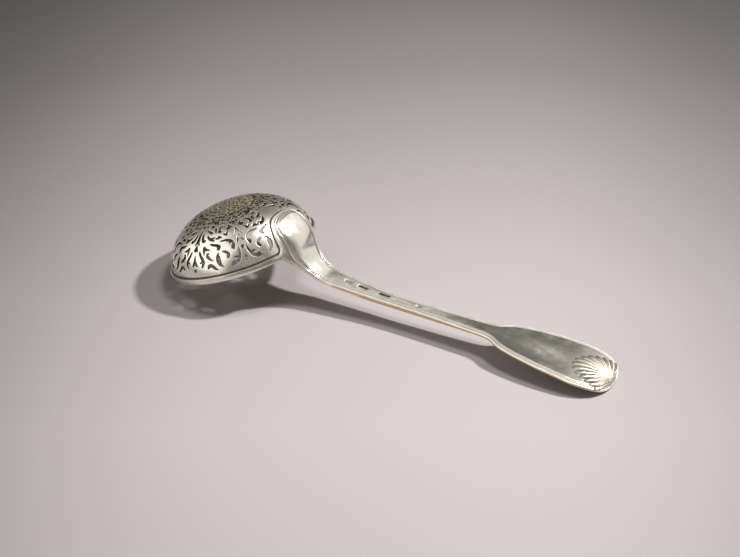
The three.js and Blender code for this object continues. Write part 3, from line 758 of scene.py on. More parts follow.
def repeat_tree(material):
    """Mirrors the paired outlines and turns them all round the bowl."""
    tree, given, out = new_tree(
        "pierced_pattern_round_the_bowl",
        [("Repeats", "NodeSocketInt", PATTERN_REPEATS), ("Turn", "NodeSocketFloat", 0.0)],
    )
    drawn, repeats = given.outputs["Geometry"], given.outputs["Repeats"]
    kind = "GeometryNodeInputNamedAttribute"
    mark = add_node(tree, kind, {"Name": "paired"}, data_type="BOOLEAN")
    chosen = {"Geometry": drawn, "Selection": mark.outputs["Attribute"]}
    split = add_node(tree, "GeometryNodeSeparateGeometry", chosen)
    mirrored = {"Geometry": split.outputs["Selection"], "Scale": (1, -1, 1)}
    mirror = add_node(tree, "GeometryNodeTransform", mirrored)
    both = add_node(tree, "GeometryNodeJoinGeometry", {"Geometry": drawn})
    joined(tree, mirror.outputs["Geometry"], both.inputs["Geometry"])
    stations = add_node(tree, "GeometryNodePoints", {"Count": repeats})
    index = tree.nodes.new("GeometryNodeInputIndex")
    share = calculate(tree, "DIVIDE", index.outputs[0], repeats)
    angle = calculate(tree, "MULTIPLY_ADD", share, FULL_TURN, given.outputs["Turn"])
    round_bowl = copies(tree, stations.outputs[0], both.outputs["Geometry"], angle)
    end_tree(tree, round_bowl, out, material)
    return tree


def crown_tree(material):
    """A ring of curled holes near the top of the bowl."""
    tree, given, out = new_tree(
        "crown_ring_of_holes",
        [
            ("Holes", "NodeSocketInt", 12),
            ("Distance", "NodeSocketFloat", 5.0),
            ("Turn", "NodeSocketFloat", 0.5),
            ("Half Length", "NodeSocketFloat", 0.8),
            ("Half Width", "NodeSocketFloat", 0.4),
            ("Seed", "NodeSocketInt", 3),
        ],
    )
    holes, distance = given.outputs["Holes"], given.outputs["Distance"]
    circle = add_node(tree, "GeometryNodeMeshCircle", {"Vertices": holes, "Radius": distance})
    sides = {"Vertices": CROWN_HOLE_SIDES, "Radius": 1}
    hole = add_node(tree, "GeometryNodeMeshCircle", sides)
    x, y, _ = coordinates(tree, tree.nodes.new("GeometryNodeInputPosition").outputs[0])
    # A round end and a pointed end, bent to one side
    taper = calculate(tree, "MULTIPLY_ADD", x, CROWN_HOLE_TAPER, CROWN_HOLE_WIDTH)
    bend = calculate(tree, "MULTIPLY", calculate(tree, "MULTIPLY", x, x), CROWN_HOLE_BEND)
    wide = calculate(tree, "MULTIPLY_ADD", y, taper, bend)
    x = calculate(tree, "MULTIPLY", x, given.outputs["Half Length"])
    y = calculate(tree, "MULTIPLY", wide, given.outputs["Half Width"])
    moved = {"Geometry": hole.outputs["Mesh"], "Position": combined(tree, X=x, Y=y)}
    curled = add_node(tree, "GeometryNodeSetPosition", moved)
    # Every other hole is turned the other way
    index = tree.nodes.new("GeometryNodeInputIndex")
    share = calculate(tree, "DIVIDE", index.outputs[0], holes)
    around = calculate(tree, "MULTIPLY_ADD", share, FULL_TURN, math.pi / 2)
    odd = calculate(tree, "MODULO", index.outputs[0], 2)
    side = calculate(tree, "MULTIPLY_ADD", odd, CROWN_HOLE_BACK, given.outputs["Turn"])
    strays = {2: -CROWN_HOLE_STRAY, 3: CROWN_HOLE_STRAY, "Seed": given.outputs["Seed"]}
    stray = add_node(tree, "FunctionNodeRandomValue", strays, data_type="FLOAT")
    angle = calculate(tree, "ADD", calculate(tree, "ADD", around, side), stray.outputs[1])
    ring = copies(tree, circle.outputs["Mesh"], curled.outputs["Geometry"], angle)
    both = add_node(tree, "GeometryNodeJoinGeometry", {"Geometry": given.outputs["Geometry"]})
    joined(tree, ring, both.inputs["Geometry"])
    end_tree(tree, both.outputs["Geometry"], out, material)
    return tree


def end_tree(tree, geometry, out, material):
    """Ends a tree in real geometry of one material."""
    real = add_node(tree, "GeometryNodeRealizeInstances", {"Geometry": geometry})
    dressed = {"Geometry": real.outputs["Geometry"], "Material": material}
    dress = add_node(tree, "GeometryNodeSetMaterial", dressed)
    joined(tree, dress.outputs["Geometry"], out.inputs["Geometry"])


def add_tree(piece, tree, **values):
    """A Geometry Nodes modifier with its inputs set by their identifiers."""
    modifier = piece.modifiers.new(tree.name, "NODES")
    modifier.node_group = tree
    for item in tree.interface.items_tree:
        if item.item_type == "SOCKET" and item.in_out == "INPUT" and item.name in values:
            modifier[item.identifier] = values[item.name]
    return modifier


def made_mesh(piece):
    """The evaluated mesh of an object, which is then removed with its modifiers."""
    graph = bpy.context.evaluated_depsgraph_get()
    mesh = bpy.data.meshes.new_from_object(piece.evaluated_get(graph))
    drawn = piece.data
    bpy.data.objects.remove(piece)
    bpy.data.meshes.remove(drawn)
    return mesh


def loops_of(mesh):
    """The closed outlines of a mesh of edges, as arrays of flat points."""
    beside = {}
    for edge in mesh.edges:
        a, b = edge.vertices
        beside.setdefault(a, []).append(b)
        beside.setdefault(b, []).append(a)
    loops, seen = [], set()
    for start in sorted(beside):
        if start in seen:
            continue
        loop, here, last = [], start, None
        while here not in seen:
            seen.add(here)
            loop.append(here)
            ahead = [b for b in beside[here] if b != last]
            last, here = here, ahead[0]
        loops.append(np.array([mesh.vertices[k].co[:2] for k in loop]))
    return loops


def mount_rise(angle):
    """Rise of the mount's upper edge, with a hollow corner where the flange leaves the band."""
    away = np.abs(np.arctan2(np.sin(angle), np.cos(angle)))
    beyond = (away - WING_ANGLE) * MOUTH_RADIUS
    in_corner = np.clip(CORNER_RADIUS - np.maximum(beyond, 0), 0, None)
    corner = BAND_HEIGHT + CORNER_RADIUS - np.sqrt(CORNER_RADIUS**2 - in_corner**2)
    fullness = np.clip(1 - (away / WING_ANGLE) ** FLANGE_SQUARENESS, 0, 1)
    flange = BAND_HEIGHT + (FLANGE_RISE - BAND_HEIGHT) * fullness ** (1 / FLANGE_SQUARENESS)
    return np.maximum(corner, flange)


def is_clear_of_mount(loop):
    distance = np.hypot(loop[:, 0], loop[:, 1])
    angle, rise = np.arctan2(loop[:, 1], loop[:, 0]), DOME_RISE - distance
    return all(
        np.all(rise > mount_rise(angle + turn) + PIERCING_MARGIN)
        for turn in (-PIERCING_MARGIN / MOUTH_RADIUS, 0, PIERCING_MARGIN / MOUTH_RADIUS)
    )


def pierced_outlines(material):
    paired = [leaf_outline(leaf) for leaf in LEAVES] + [dot_outline(*dot) for dot in DOTS]
    single = [leaf_outline([(axis, *point) for point in leaf]) for axis, leaf in AXIS_LEAVES]
    single += [dot_outline(*dot) for dot in AXIS_DOTS]
    marks = [True] * len(paired) + [False] * len(single)
    drawn = outline_object("pierced_outlines", paired + single, marks)
    add_tree(drawn, repeat_tree(material), Repeats=PATTERN_REPEATS, Turn=PATTERN_TURN)
    crown = crown_tree(material)
    for number, (rise, count, turn, length, width) in enumerate(CROWN_RINGS):
        values = {"Half Length": length, "Half Width": width, "Seed": number}
        add_tree(drawn, crown, Holes=count, Distance=DOME_RISE - rise, Turn=turn, **values)
    return [loop for loop in loops_of(made_mesh(drawn)) if is_clear_of_mount(loop)]


def place_on_dome(x, y, offset):
    return on_dome(DOME_RISE - np.hypot(x, y), np.arctan2(y, x), offset)


# Bowl

# Rings round each hole: the last column darkens its edge with tarnish and painted shade
HOLE_RINGS = [(0.0, 0.05, 0.07, 0.6), (0.06, 0.01, 0.02, 0.15), (0.2, 0.0, 0.0, 0.0)]
# Tarnish and painted shade on the bowl along the mount's edge: distance beyond it and how much is
# held
GROOVE_RINGS = [(-0.3, 1.0), (0.1, 1.0), (0.3, 0.9), (0.5, 0.0)]
MOUTH_RINGS = [(0.0, 0.2, 0.2, 0.0), (0.15, 0.05, 0.05, 0.0), (0.4, 0.0, 0.0, 0.0)]
BOWL_SPACING = 0.85  # between the bowl's points away from its outlines
GROOVE_SPACING = 0.5
# Painted shade on the outer crown and on the inside, lifted inside toward the top, gold patches
# on the outer crown as painted glints, and gilding inside, with the rises over which they change
CROWN_PAINTED_SHADE, CROWN_PAINTED_SHADE_RISES = 0.26, (22, 32)
INSIDE_PAINTED_SHADE, INSIDE_SHADE_LIFT, INSIDE_SHADE_LIFT_RISES = 0.62, 0.34, (20, 32)
CROWN_GLINT_GOLD, CROWN_GLINT_GOLD_RISES = 0.3, (24, 34)
INSIDE_GOLD_RISES = (12, 28)


def bowl_fill():
    fill = []
    for row, rise in enumerate(np.arange(1, DOME_RISE, BOWL_SPACING)):
        count = max(int(FULL_TURN * dome_out(rise) / BOWL_SPACING), 1)
        turn = (np.arange(count) + 0.5 * (row % 2)) / count * FULL_TURN
        fill += list(pressed(turn, np.full(count, rise)))
    return fill


def make_bowl(silver, walls):
    sheet = Sheet(place_on_dome)
    around = np.arange(300) / 300 * FULL_TURN
    sheet.add_loop(pressed(around, np.zeros(len(around))), False, MOUTH_RINGS)
    for loop in pierced_outlines(silver):
        sheet.add_loop(loop, True, HOLE_RINGS)
    around = np.linspace(0, FULL_TURN, 4001)[:-1]
    for beyond, hollow in GROOVE_RINGS:
        ring = pressed(around, mount_rise(around) + beyond)
        sheet.add_ring(evenly_spaced(ring, GROOVE_SPACING), (0, 0, hollow))
    sheet.add_fill(bowl_fill(), BOWL_SPACING * 0.42, (0, 0, 0))
    mesh, flat = sheet.mesh(
        "pierced_bowl_fine",
        lambda x, y, drop: -drop,
        lambda x, y, drop: drop - BOWL_WALL,
        pressed(math.pi, 0.7),
    )
    rise = DOME_RISE - np.hypot(flat[:, 0], flat[:, 1])
    hollow = np.zeros(2 * len(flat))
    mesh.attributes["hollow"].data.foreach_get("value", hollow)
    # The outer crown is darkened as painted shade
    hollow[: len(flat)] += CROWN_PAINTED_SHADE * smooth_step(rise, *CROWN_PAINTED_SHADE_RISES)
    # The inside is darkened all over as painted shade, less toward the top, where its glints show
    shade_lifted = INSIDE_SHADE_LIFT * smooth_step(rise, *INSIDE_SHADE_LIFT_RISES)
    hollow[len(flat) :] = INSIDE_PAINTED_SHADE - shade_lifted
    mesh.attributes["hollow"].data.foreach_set("value", hollow)
    # Gold on the outer crown stands in for its glints, a painted highlight; the gold inside is
    # gilding
    glint_gold_outside = CROWN_GLINT_GOLD * smooth_step(rise, *CROWN_GLINT_GOLD_RISES)
    gold_inside = smooth_step(rise, *INSIDE_GOLD_RISES)
    store(mesh, "gilding", np.concatenate([glint_gold_outside, gold_inside]))
    return finish_piece(mesh, "pierced_bowl", [silver, walls])


# Handle


def neck_half_width(distance):
    outline = handle_outline()
    half = outline[: len(outline) // 2]
    order = np.argsort(half[:, 0])
    return np.interp(distance, half[order, 0], np.abs(half[order, 1]))


def handle_outline():
    """The handle's closed outline as distance along it and side."""
    controls = NECK_WIDTHS + [(SPINE_LENGTH - back, half) for back, half in FIDDLE_WIDTHS]
    sides = through_points(controls, 16)
    top, end = [], []
    for share in np.linspace(0, 1, 41)[:-1]:
        angle = share * math.pi / 2
        reach = (TONGUE_RISE - TONGUE_SHOULDER_RISE) * math.cos(angle) ** (2 / TONGUE_SQUARENESS)
        half = sides[0][1] * math.sin(angle) ** (2 / TONGUE_SQUARENESS)
        top.append((-TONGUE_SHOULDER_RISE - reach, half))
        reach = (FIDDLE_END_LENGTH - TIP_RELIEF) * math.cos(angle) ** (2 / FIDDLE_SQUARENESS)
        half = sides[-1][1] * math.sin(angle) ** (2 / FIDDLE_SQUARENESS)
        end.insert(0, (SPINE_LENGTH - FIDDLE_END_LENGTH + reach, half))
    upper = np.array(top + [tuple(p) for p in sides] + end)
    lower = upper[1:-1][::-1] * [1, -1]
    loop = np.concatenate([upper, lower])
    return evenly_spaced(loop, OUTLINE_SPACING)


def evenly_spaced(loop, spacing):
    """The same closed outline with points an even distance apart."""
    closed = np.concatenate([loop, loop[:1]])
    length = np.concatenate([[0], np.cumsum(np.linalg.norm(np.diff(closed, axis=0), axis=1))])
    stations = np.arange(int(length[-1] / spacing)) * (length[-1] / int(length[-1] / spacing))
    return np.stack([np.interp(stations, length, closed[:, k]) for k in (0, 1)], axis=-1)


def add_dents(sheet):
    turn = np.linspace(0, FULL_TURN, 49)[:-1]
    waves = np.stack([np.cos(turn), np.sin(turn)], axis=-1)
    squared = np.sign(waves) * np.abs(waves) ** (2 / DENT_SQUARENESS)
    for distance, half_length, half_width, held in DENTS:
        for outside, share in DENT_RINGS:
            halves = (half_length + outside, half_width + outside)
            values = (FIELD_DEPTH + DENT_DEPTH * share, FIELD_DEPTH, held * share)
            sheet.add_ring(squared * halves + (distance, 0), values)
        reach = half_length - DENT_MIDDLE_INSET
        middle = [(distance + along, 0.0) for along in np.arange(-reach, reach + 0.1, 0.2)]
        sheet.add_ring(middle, values, is_closed=False)


def handle_face(x, y, drop):
    on_stem = smooth_step(x, *ROUNDED_FROM) * (1 - toward_tip(x, *ROUNDED_TO))
    camber = STEM_CAMBER * np.minimum(np.abs(y), STEM_FIELD) ** 2
    return HANDLE_FACE - FACE_RELIEF - drop - camber * on_stem


def handle_back(x, y, drop):
    thinned = toward_tip(x, *THINNED)
    bare = smooth_step(x, STRAP_LENGTH, STRAP_LENGTH + CUP_LENGTH)
    seat = np.where(x < STRAP_LENGTH + STRAP_STEP / 2, MOUNT_FACE, 0)
    full = seat + thinned * (HANDLE_FACE - FIDDLE_THICKNESS) + drop * bare
    return full - STEM_FULLNESS * bare * (1 - thinned)


def handle_wear(x, y):
    """How far use and polishing have rubbed the handle, from 0 to 1."""
    inward = neck_half_width(x) - np.abs(y)
    on_threads = smooth_step(inward, 0, 0.1) * (1 - smooth_step(inward, *WORN_THREADS))
    past_neck = smooth_step(x, *WORN_FROM)
    on_stem = past_neck * (1 - toward_tip(x, *WORN_TO)) * (1 - on_threads)
    (back, half_length), (middle, half_width) = FIDDLE_PATCH, FIDDLE_PATCH_SIDE
    along, aside = (x - SPINE_LENGTH + back) / half_length, (y - middle) / half_width
    on_fiddle = np.exp(-(along**2) - aside**2)
    on_threads *= NECK_THREAD_WEAR + STEM_THREAD_WEAR * past_neck
    return np.maximum(np.maximum(on_threads, STEM_WEAR * on_stem), FIDDLE_WEAR * on_fiddle)


def make_handle(silver, walls):
    sheet = Sheet(along_handle)
    outline = handle_outline()
    sheet.add_loop(outline, False, THREADS)
    fill = [
        (along, side)
        for along in np.arange(-TONGUE_RISE, SPINE_LENGTH, FIELD_SPACING)
        for side in np.arange(-FIDDLE_HALF_WIDTH, FIDDLE_HALF_WIDTH + 0.1, FIELD_SPACING)
    ]
    fill = [point for point in fill if inside_outline(point, outline)]
    for along in (STRAP_LENGTH, STRAP_LENGTH + STRAP_STEP):
        fill += [(along, side) for side in np.arange(-3, 3.1, 0.4)]
    add_dents(sheet)
    sheet.add_fill(fill, 0.3, (FIELD_DEPTH, FIELD_DEPTH, 0))
    mesh, flat = sheet.mesh("handle_fine", handle_face, handle_back, (SPINE_LENGTH / 2, 0))
    store(mesh, "wear", np.tile(handle_wear(flat[:, 0], flat[:, 1]), 2))
    return finish_piece(mesh, "handle", [silver, walls])


def inside_outline(point, outline):
    x, y = point
    a, b = outline, np.roll(outline, -1, axis=0)
    crosses = (a[:, 1] > y) != (b[:, 1] > y)
    with np.errstate(divide="ignore", invalid="ignore"):
        at = a[:, 0] + (y - a[:, 1]) / (b[:, 1] - a[:, 1]) * (b[:, 0] - a[:, 0])
    return bool(np.sum(crosses & (x < at)) % 2)


# Mount

NECK_STATIONS = np.linspace(0, 30, 61)
NECK_WIDTH_TABLE = (NECK_STATIONS, neck_half_width(NECK_STATIONS))
MOUNT_SPACING = 0.8
MOUNT_POLISH = 0.6  # share of the relief that polishing has taken off the mount
MOUNT_CLEARANCE = 0.02  # between its back and the bowl, in the scene


def place_on_mount(x, y, offset):
    """Flat points of the mount: the pressed dome inside the mouth's circle, the strap outside."""
    distance, angle = np.hypot(x, y), np.arctan2(y, x)
    rise = DOME_RISE - distance
    ring = on_dome(rise, angle, offset)
    down = np.maximum(-rise, 0)
    wing = RIM_RADIUS * math.sin(WING_ANGLE) - NECK_WIDTH_TABLE[1][0]
    drawn_in = np.maximum(1 - down / WING_SWEEP, 0) ** WING_FLARE
    half = np.interp(down, *NECK_WIDTH_TABLE) + wing * drawn_in
    strap = along_handle(down, half * np.sin(angle) / math.sin(WING_ANGLE), offset)
    is_ring = (rise >= 0) | (np.abs(angle) > WING_ANGLE + 1e-6)
    return np.where(is_ring[..., None], ring, strap)


# The mount's inner edge steps down to the bowl, with tarnish and painted shade at the step's foot,
# and its outer edge is rounded
STEP_RINGS = [
    (0.0, 0.85, 0.0, 1.0),
    (0.2, 0.8, 0.0, 1.0),
    (0.38, 0.55, 0.0, 0.9),
    (0.5, 0.2, 0.0, 0.1),
    (0.64, 0.04, 0.0, 0.0),
    (0.9, 0.0, 0.0, 0.0),
]
ROUNDED_RINGS = [
    (0.0, 0.25, 0.0, 0.0),
    (0.06, 0.12, 0.0, 0.0),
    (0.16, 0.03, 0.0, 0.0),
    (0.35, 0.0, 0.0, 0.0),
]


def make_mount(silver, walls):
    sheet = Sheet(place_on_mount)
    around = np.linspace(WING_ANGLE, FULL_TURN - WING_ANGLE, 330)
    outer = list(pressed(around, np.zeros(len(around))))
    for down in np.linspace(0, STRAP_LENGTH, 40)[1:]:
        outer.append(pressed(-WING_ANGLE, -down))
    for angle in np.linspace(-WING_ANGLE, WING_ANGLE, 16)[1:-1]:
        outer.append(pressed(angle, -STRAP_LENGTH))
    for down in np.linspace(STRAP_LENGTH, 0, 40)[:-1]:
        outer.append(pressed(WING_ANGLE, -down))
    sheet.add_loop(outer, False, ROUNDED_RINGS)
    around = np.linspace(0, FULL_TURN, 8001)[:-1]
    inner = pressed(around, mount_rise(around))
    sheet.add_loop(evenly_spaced(inner, OUTLINE_SPACING), True, STEP_RINGS)
    fill = []
    for rise in np.arange(-STRAP_LENGTH + 0.5, FLANGE_RISE, MOUNT_SPACING):
        for angle in np.linspace(-WING_ANGLE, WING_ANGLE, 30):
            if rise < mount_rise(angle):
                fill.append(pressed(angle, rise))
    for angle in np.arange(WING_ANGLE, FULL_TURN - WING_ANGLE, 0.03):
        fill.append(pressed(angle, BAND_HEIGHT * 0.42))
    sheet.add_fill(fill, 0.28, (0, 0, 0))
    mesh, _ = sheet.mesh(
        "rim_mount_fine",
        lambda x, y, drop: MOUNT_FACE - MOUNT_POLISH * FACE_RELIEF - drop,
        lambda x, y, drop: MOUNT_CLEARANCE + drop,
        pressed(math.pi, BAND_HEIGHT / 2),
    )
    return finish_piece(mesh, "rim_mount", [silver, walls])


# Shell

SHELL_RIBS = 13
SHELL_HINGE = 2.4  # from the tip to the point that the ribs spread from
SHELL_LENGTH = 16.0
SHELL_HALF_WIDTH = 10.8
SHELL_SPREAD = math.radians(158)
SHELL_RELIEF = 1.25
SHELL_SWIRL = 0.22  # how far a rib bends round on its way out
SHELL_STEPS = 70  # points along a rib
RIB_STEPS = 14  # and across it
RIB_FULLNESS = 0.85
SCALLOP_DEPTH = 0.09  # how much further the ribs reach than the grooves, as a share
GROOVE_REACH = 0.93
RIB_RELIEF, GROOVE_RELIEF = 0.66, 0.34  # shares of the relief
SWELL_TURN, SWELL_POWER = 2.15, 0.6
ROLL_POWER = 10  # how late the relief rolls over at the scallops
SHELL_SINK = 0.08
SHELL_FLOOR = 0.35
GROOVE_TARNISH, RIB_CLEANNESS = 1.15, 2.3
# Painted shade under the rolled ends of the scallops, and how late along the ribs it begins
SCALLOP_PAINTED_SHADE, SCALLOP_PAINTED_SHADE_POWER = 0.9, 16
SHELL_SHARP = 70  # the angle in degrees from which its edges look sharp


def shell_tree(material):
    """A fan of round ribs that spread from a hinge, drawn flat with its relief in Z.

    X is the distance from the hinge toward the bowl and Y is the side.
    """
    tree, given, out = new_tree(
        "fluted_shell",
        [
            ("Ribs", "NodeSocketInt", SHELL_RIBS),
            ("Length", "NodeSocketFloat", SHELL_LENGTH),
            ("Half Width", "NodeSocketFloat", SHELL_HALF_WIDTH),
            ("Spread", "NodeSocketFloat", SHELL_SPREAD),
            ("Relief", "NodeSocketFloat", SHELL_RELIEF),
            ("Swirl", "NodeSocketFloat", SHELL_SWIRL),
        ],
    )
    size = {"Size X": 1, "Size Y": 1}
    counts = {"Vertices X": SHELL_STEPS, "Vertices Y": SHELL_RIBS * RIB_STEPS + 1}
    grid = add_node(tree, "GeometryNodeMeshGrid", {**size, **counts})
    x, y, _ = coordinates(tree, tree.nodes.new("GeometryNodeInputPosition").outputs[0])

    def math_of(operation, *values):
        return calculate(tree, operation, *values)

    share = math_of("ADD", x, 0.5)  # 0 at the hinge, 1 at the scallops
    across = y  # -0.5 to 0.5 over the spread
    # A rib leaves the hinge along the middle line and bends outward to its own angle
    bend = math_of("SINE", math_of("MULTIPLY", share, math.pi))
    swirl = math_of("MULTIPLY", math_of("MULTIPLY", bend, given.outputs["Swirl"]), across)
    angle = math_of("MULTIPLY_ADD", across, given.outputs["Spread"], swirl)
    cos, sin = math_of("COSINE", angle), math_of("SINE", angle)
    # The ribs end on an ellipse
    ahead = math_of("POWER", math_of("DIVIDE", cos, given.outputs["Length"]), 2)
    aside = math_of("POWER", math_of("DIVIDE", sin, given.outputs["Half Width"]), 2)
    reach = math_of("DIVIDE", 1, math_of("SQRT", math_of("ADD", ahead, aside)))
    phase = math_of("MULTIPLY", math_of("MULTIPLY", across, given.outputs["Ribs"]), math.pi)
    crest = math_of("ABSOLUTE", math_of("SINE", phase))
    rounded = math_of("POWER", math_of("MAXIMUM", crest, 0.001), RIB_FULLNESS)
    # The ends are scalloped, and the relief swells from the hinge and rolls over at the scallops
    scallop = math_of("MULTIPLY_ADD", rounded, SCALLOP_DEPTH, GROOVE_REACH)
    radius = math_of("MULTIPLY", math_of("MULTIPLY", reach, share), scallop)
    risen = math_of("MULTIPLY", math_of("POWER", share, SWELL_POWER), SWELL_TURN)
    swell = math_of("SINE", risen)
    fall = math_of("SUBTRACT", 1, math_of("POWER", share, ROLL_POWER))
    body = math_of("MULTIPLY", math_of("MULTIPLY", swell, fall), given.outputs["Relief"])
    groove = math_of("MULTIPLY_ADD", rounded, RIB_RELIEF, GROOVE_RELIEF)
    height = math_of("SUBTRACT", math_of("MULTIPLY", body, groove), SHELL_SINK)
    ahead, aside = math_of("MULTIPLY", radius, cos), math_of("MULTIPLY", radius, sin)
    place = combined(tree, X=ahead, Y=aside, Z=height)
    # The tarnish in the grooves and the painted shade at the scallop ends are kept before the
    # points move, because they are worked out from where they are
    late = math_of("POWER", share, SCALLOP_PAINTED_SHADE_POWER)
    end = math_of("MULTIPLY", late, SCALLOP_PAINTED_SHADE)
    low = math_of("MULTIPLY_ADD", crest, -RIB_CLEANNESS, GROOVE_TARNISH)
    hollow = math_of("MAXIMUM", low, end)
    kept = {"Name": "hollow", "Geometry": grid.outputs["Mesh"]}
    kind = "GeometryNodeStoreNamedAttribute"
    mark = add_node(tree, kind, kept, data_type="FLOAT", domain="POINT")
    joined(tree, math_of("MINIMUM", hollow, 1), mark.inputs["Value"])
    moved = {"Geometry": mark.outputs["Geometry"], "Position": place}
    shaped = add_node(tree, "GeometryNodeSetPosition", moved)
    end_tree(tree, shaped.outputs["Geometry"], out, material)
    return tree


def close_below(mesh, depth):
    """Makes a solid of an open sheet, with a floor at a depth."""
    work = bmesh.new()
    work.from_mesh(mesh)
    bmesh.ops.remove_doubles(work, verts=work.verts, dist=1e-4)
    border = [edge for edge in work.edges if len(edge.link_faces) == 1]
    made = bmesh.ops.extrude_edge_only(work, edges=border)["geom"]
    for vertex in (item for item in made if isinstance(item, bmesh.types.BMVert)):
        vertex.co.z = depth
    open_edges = [edge for edge in work.edges if len(edge.link_faces) == 1]
    bmesh.ops.holes_fill(work, edges=open_edges, sides=0)
    bmesh.ops.recalc_face_normals(work, faces=work.faces)
    work.to_mesh(mesh)
    work.free()


def make_shell(name, silver, face_offset, sense):
    """The shell on the face of the handle's end, or on its back where the sense is -1."""
    drawn = outline_object("shell_outline", [], [])
    add_tree(drawn, shell_tree(silver))
    mesh = made_mesh(drawn)
    mesh.name = name
    close_below(mesh, -SHELL_FLOOR)
    flat = np.zeros(len(mesh.vertices) * 3)
    mesh.vertices.foreach_get("co", flat)
    flat = flat.reshape(-1, 3)
    distance = SPINE_LENGTH - SHELL_HINGE - flat[:, 0]
    points = along_handle(distance, flat[:, 1], face_offset + sense * flat[:, 2])
    points[:, 0] -= MIDDLE
    mesh.vertices.foreach_set("co", (points * MM).ravel())
    if sense > 0:
        mesh.flip_normals()
    return finish_piece(mesh, None, [silver], sharp=SHELL_SHARP)


# Materials

SILVER_BRIGHT = (0.90, 0.86, 0.79)
SILVER_DULL = (0.05, 0.042, 0.033)
GILT_BRIGHT = (0.93, 0.76, 0.3)
GILT_DULL = (0.16, 0.10, 0.04)
GILT_SHADING = 0.7  # how much of a metal's tint its gilding takes

# Patches: scale per metre, detail and roughness of their noise, and the two levels it is spread
# between
HAIRLINES = (1.0, 2.0, 0.5, 0.6, 0.78)
HAZE_BROAD = (85, 3.0, 0.55, 0.42, 0.66)
HAZE_MIDDLE = (330, 6.0, 0.7, 0.4, 0.72)
HAZE_FINE = (1900, 3.0, 0.6, 0.3, 0.75)
TARNISH_BROAD = (110, 5.0, 0.6, 0.42, 0.72)
TARNISH_SMALL = (900, 4.0, 0.6, 0.35, 0.7)
GOLD_PATCHES = (560, 3.0, 0.5, 0.36, 0.64)
UNEVEN_WEAR = (260, 4.0, 0.6, 0.35, 0.65)
HAIRLINE_TURNS = (8, 33, 71, 118, 157)  # degrees

# How much each mark of age takes off the metal's polish, and adds to its roughness
HAZE_DULLS, HAZE_ROUGHENS = 0.22, 0.14
HAIRLINES_DULL, HAIRLINES_ROUGHEN = 0.1, 0.2
WEAR_DULLS, WEAR_ROUGHENS = 0.3, 0.4
GILDING_DULLS = 0.35
TARNISH_ROUGHENS = 0.3

# Relief of the surface in metres
HAIRLINE_DEPTH = 0.000006
PIT_HEIGHT = 0.000002


def new_group(name, inputs, outputs):
    group = bpy.data.node_groups.new(name, "ShaderNodeTree")
    for label, kind, value in inputs:
        socket = group.interface.new_socket(label, in_out="INPUT", socket_type=kind)
        socket.default_value = value
    for label, kind in outputs:
        group.interface.new_socket(label, in_out="OUTPUT", socket_type=kind)
    return group, group.nodes.new("NodeGroupInput"), group.nodes.new("NodeGroupOutput")


def remap(tree, value, low, high, to_low=0.0, to_high=1.0):
    levels = {"From Min": low, "From Max": high, "To Min": to_low, "To Max": to_high}
    return add_node(tree, "ShaderNodeMapRange", {"Value": value, **levels}).outputs["Result"]


def noise(tree, vector, scale, detail, roughness=0.5):
    inputs = {"Vector": vector, "Scale": scale, "Detail": detail, "Roughness": roughness}
    return add_node(tree, "ShaderNodeTexNoise", inputs).outputs[0]


def patches(tree, vector, pattern, least=0.0, most=1.0):
    """Uneven patches, whose noise is spread from `least` to `most` between its two levels."""
    scale, detail, roughness, low, high = pattern
    return remap(tree, noise(tree, vector, scale, detail, roughness), low, high, least, most)


def stretched(tree, vector, turn, scale):
    inputs = {"Vector": vector, "Rotation": turn, "Scale": scale}
    return add_node(tree, "ShaderNodeMapping", inputs).outputs[0]


def scratches_group():
    """Hairlines left by years of polishing and use, in several directions."""
    group, given, out = new_group(
        "polishing hairlines",
        [("Vector", "NodeSocketVector", (0, 0, 0))],
        [("Mask", "NodeSocketFloat")],
    )
    total = None
    for number, degrees in enumerate(HAIRLINE_TURNS):
        turned = stretched(
            group,
            given.outputs["Vector"],
            (0.2 * number, 0.15, math.radians(degrees)),
            (70 + 25 * number, 5200 - 500 * number, 900),
        )
        line = patches(group, turned, HAIRLINES)
        pattern = (75 + 45 * number, 4.0, 0.6, 0.45, 0.7)
        patch = patches(group, given.outputs["Vector"], pattern)
        marks = calculate(group, "MULTIPLY", line, patch)
        total = marks if total is None else calculate(group, "MAXIMUM", total, marks)
    joined(group, total, out.inputs["Mask"])
    return group


def haze_group():
    """Clouds of fine wear that dull a polish."""
    group, given, out = new_group(
        "haze of fine wear",
        [("Vector", "NodeSocketVector", (0, 0, 0))],
        [("Mask", "NodeSocketFloat")],
    )
    where = given.outputs["Vector"]
    broad = patches(group, where, HAZE_BROAD)
    middle = patches(group, where, HAZE_MIDDLE)
    fine = patches(group, where, HAZE_FINE, 0.5)
    mask = calculate(group, "MULTIPLY", calculate(group, "MULTIPLY", broad, middle), fine)
    joined(group, mask, out.inputs["Mask"])
    return group


def tarnish_and_shade_group():
    """Tarnish in thin clouds on the open metal, and the tarnish and painted shade that a mesh
    holds.
    """
    group, given, out = new_group(
        "tarnish in hollows",
        [
            ("Vector", "NodeSocketVector", (0, 0, 0)),
            ("Hollow", "NodeSocketFloat", 0.0),
            ("Clouds", "NodeSocketFloat", 0.3),
        ],
        [("Mask", "NodeSocketFloat")],
    )
    broad = patches(group, given.outputs["Vector"], TARNISH_BROAD)
    small = patches(group, given.outputs["Vector"], TARNISH_SMALL)
    clouds = calculate(group, "MULTIPLY", broad, small)
    clouds = calculate(group, "MULTIPLY", clouds, given.outputs["Clouds"])
    kept = remap(group, small, 0, 1, 0.85, 1.0)
    hollow = calculate(group, "MULTIPLY", given.outputs["Hollow"], kept)
    mask = calculate(group, "MAXIMUM", clouds, hollow)
    joined(group, mask, out.inputs["Mask"])
    return group


SCRATCHES = scratches_group()
HAZE = haze_group()
TARNISH_AND_SHADE = tarnish_and_shade_group()


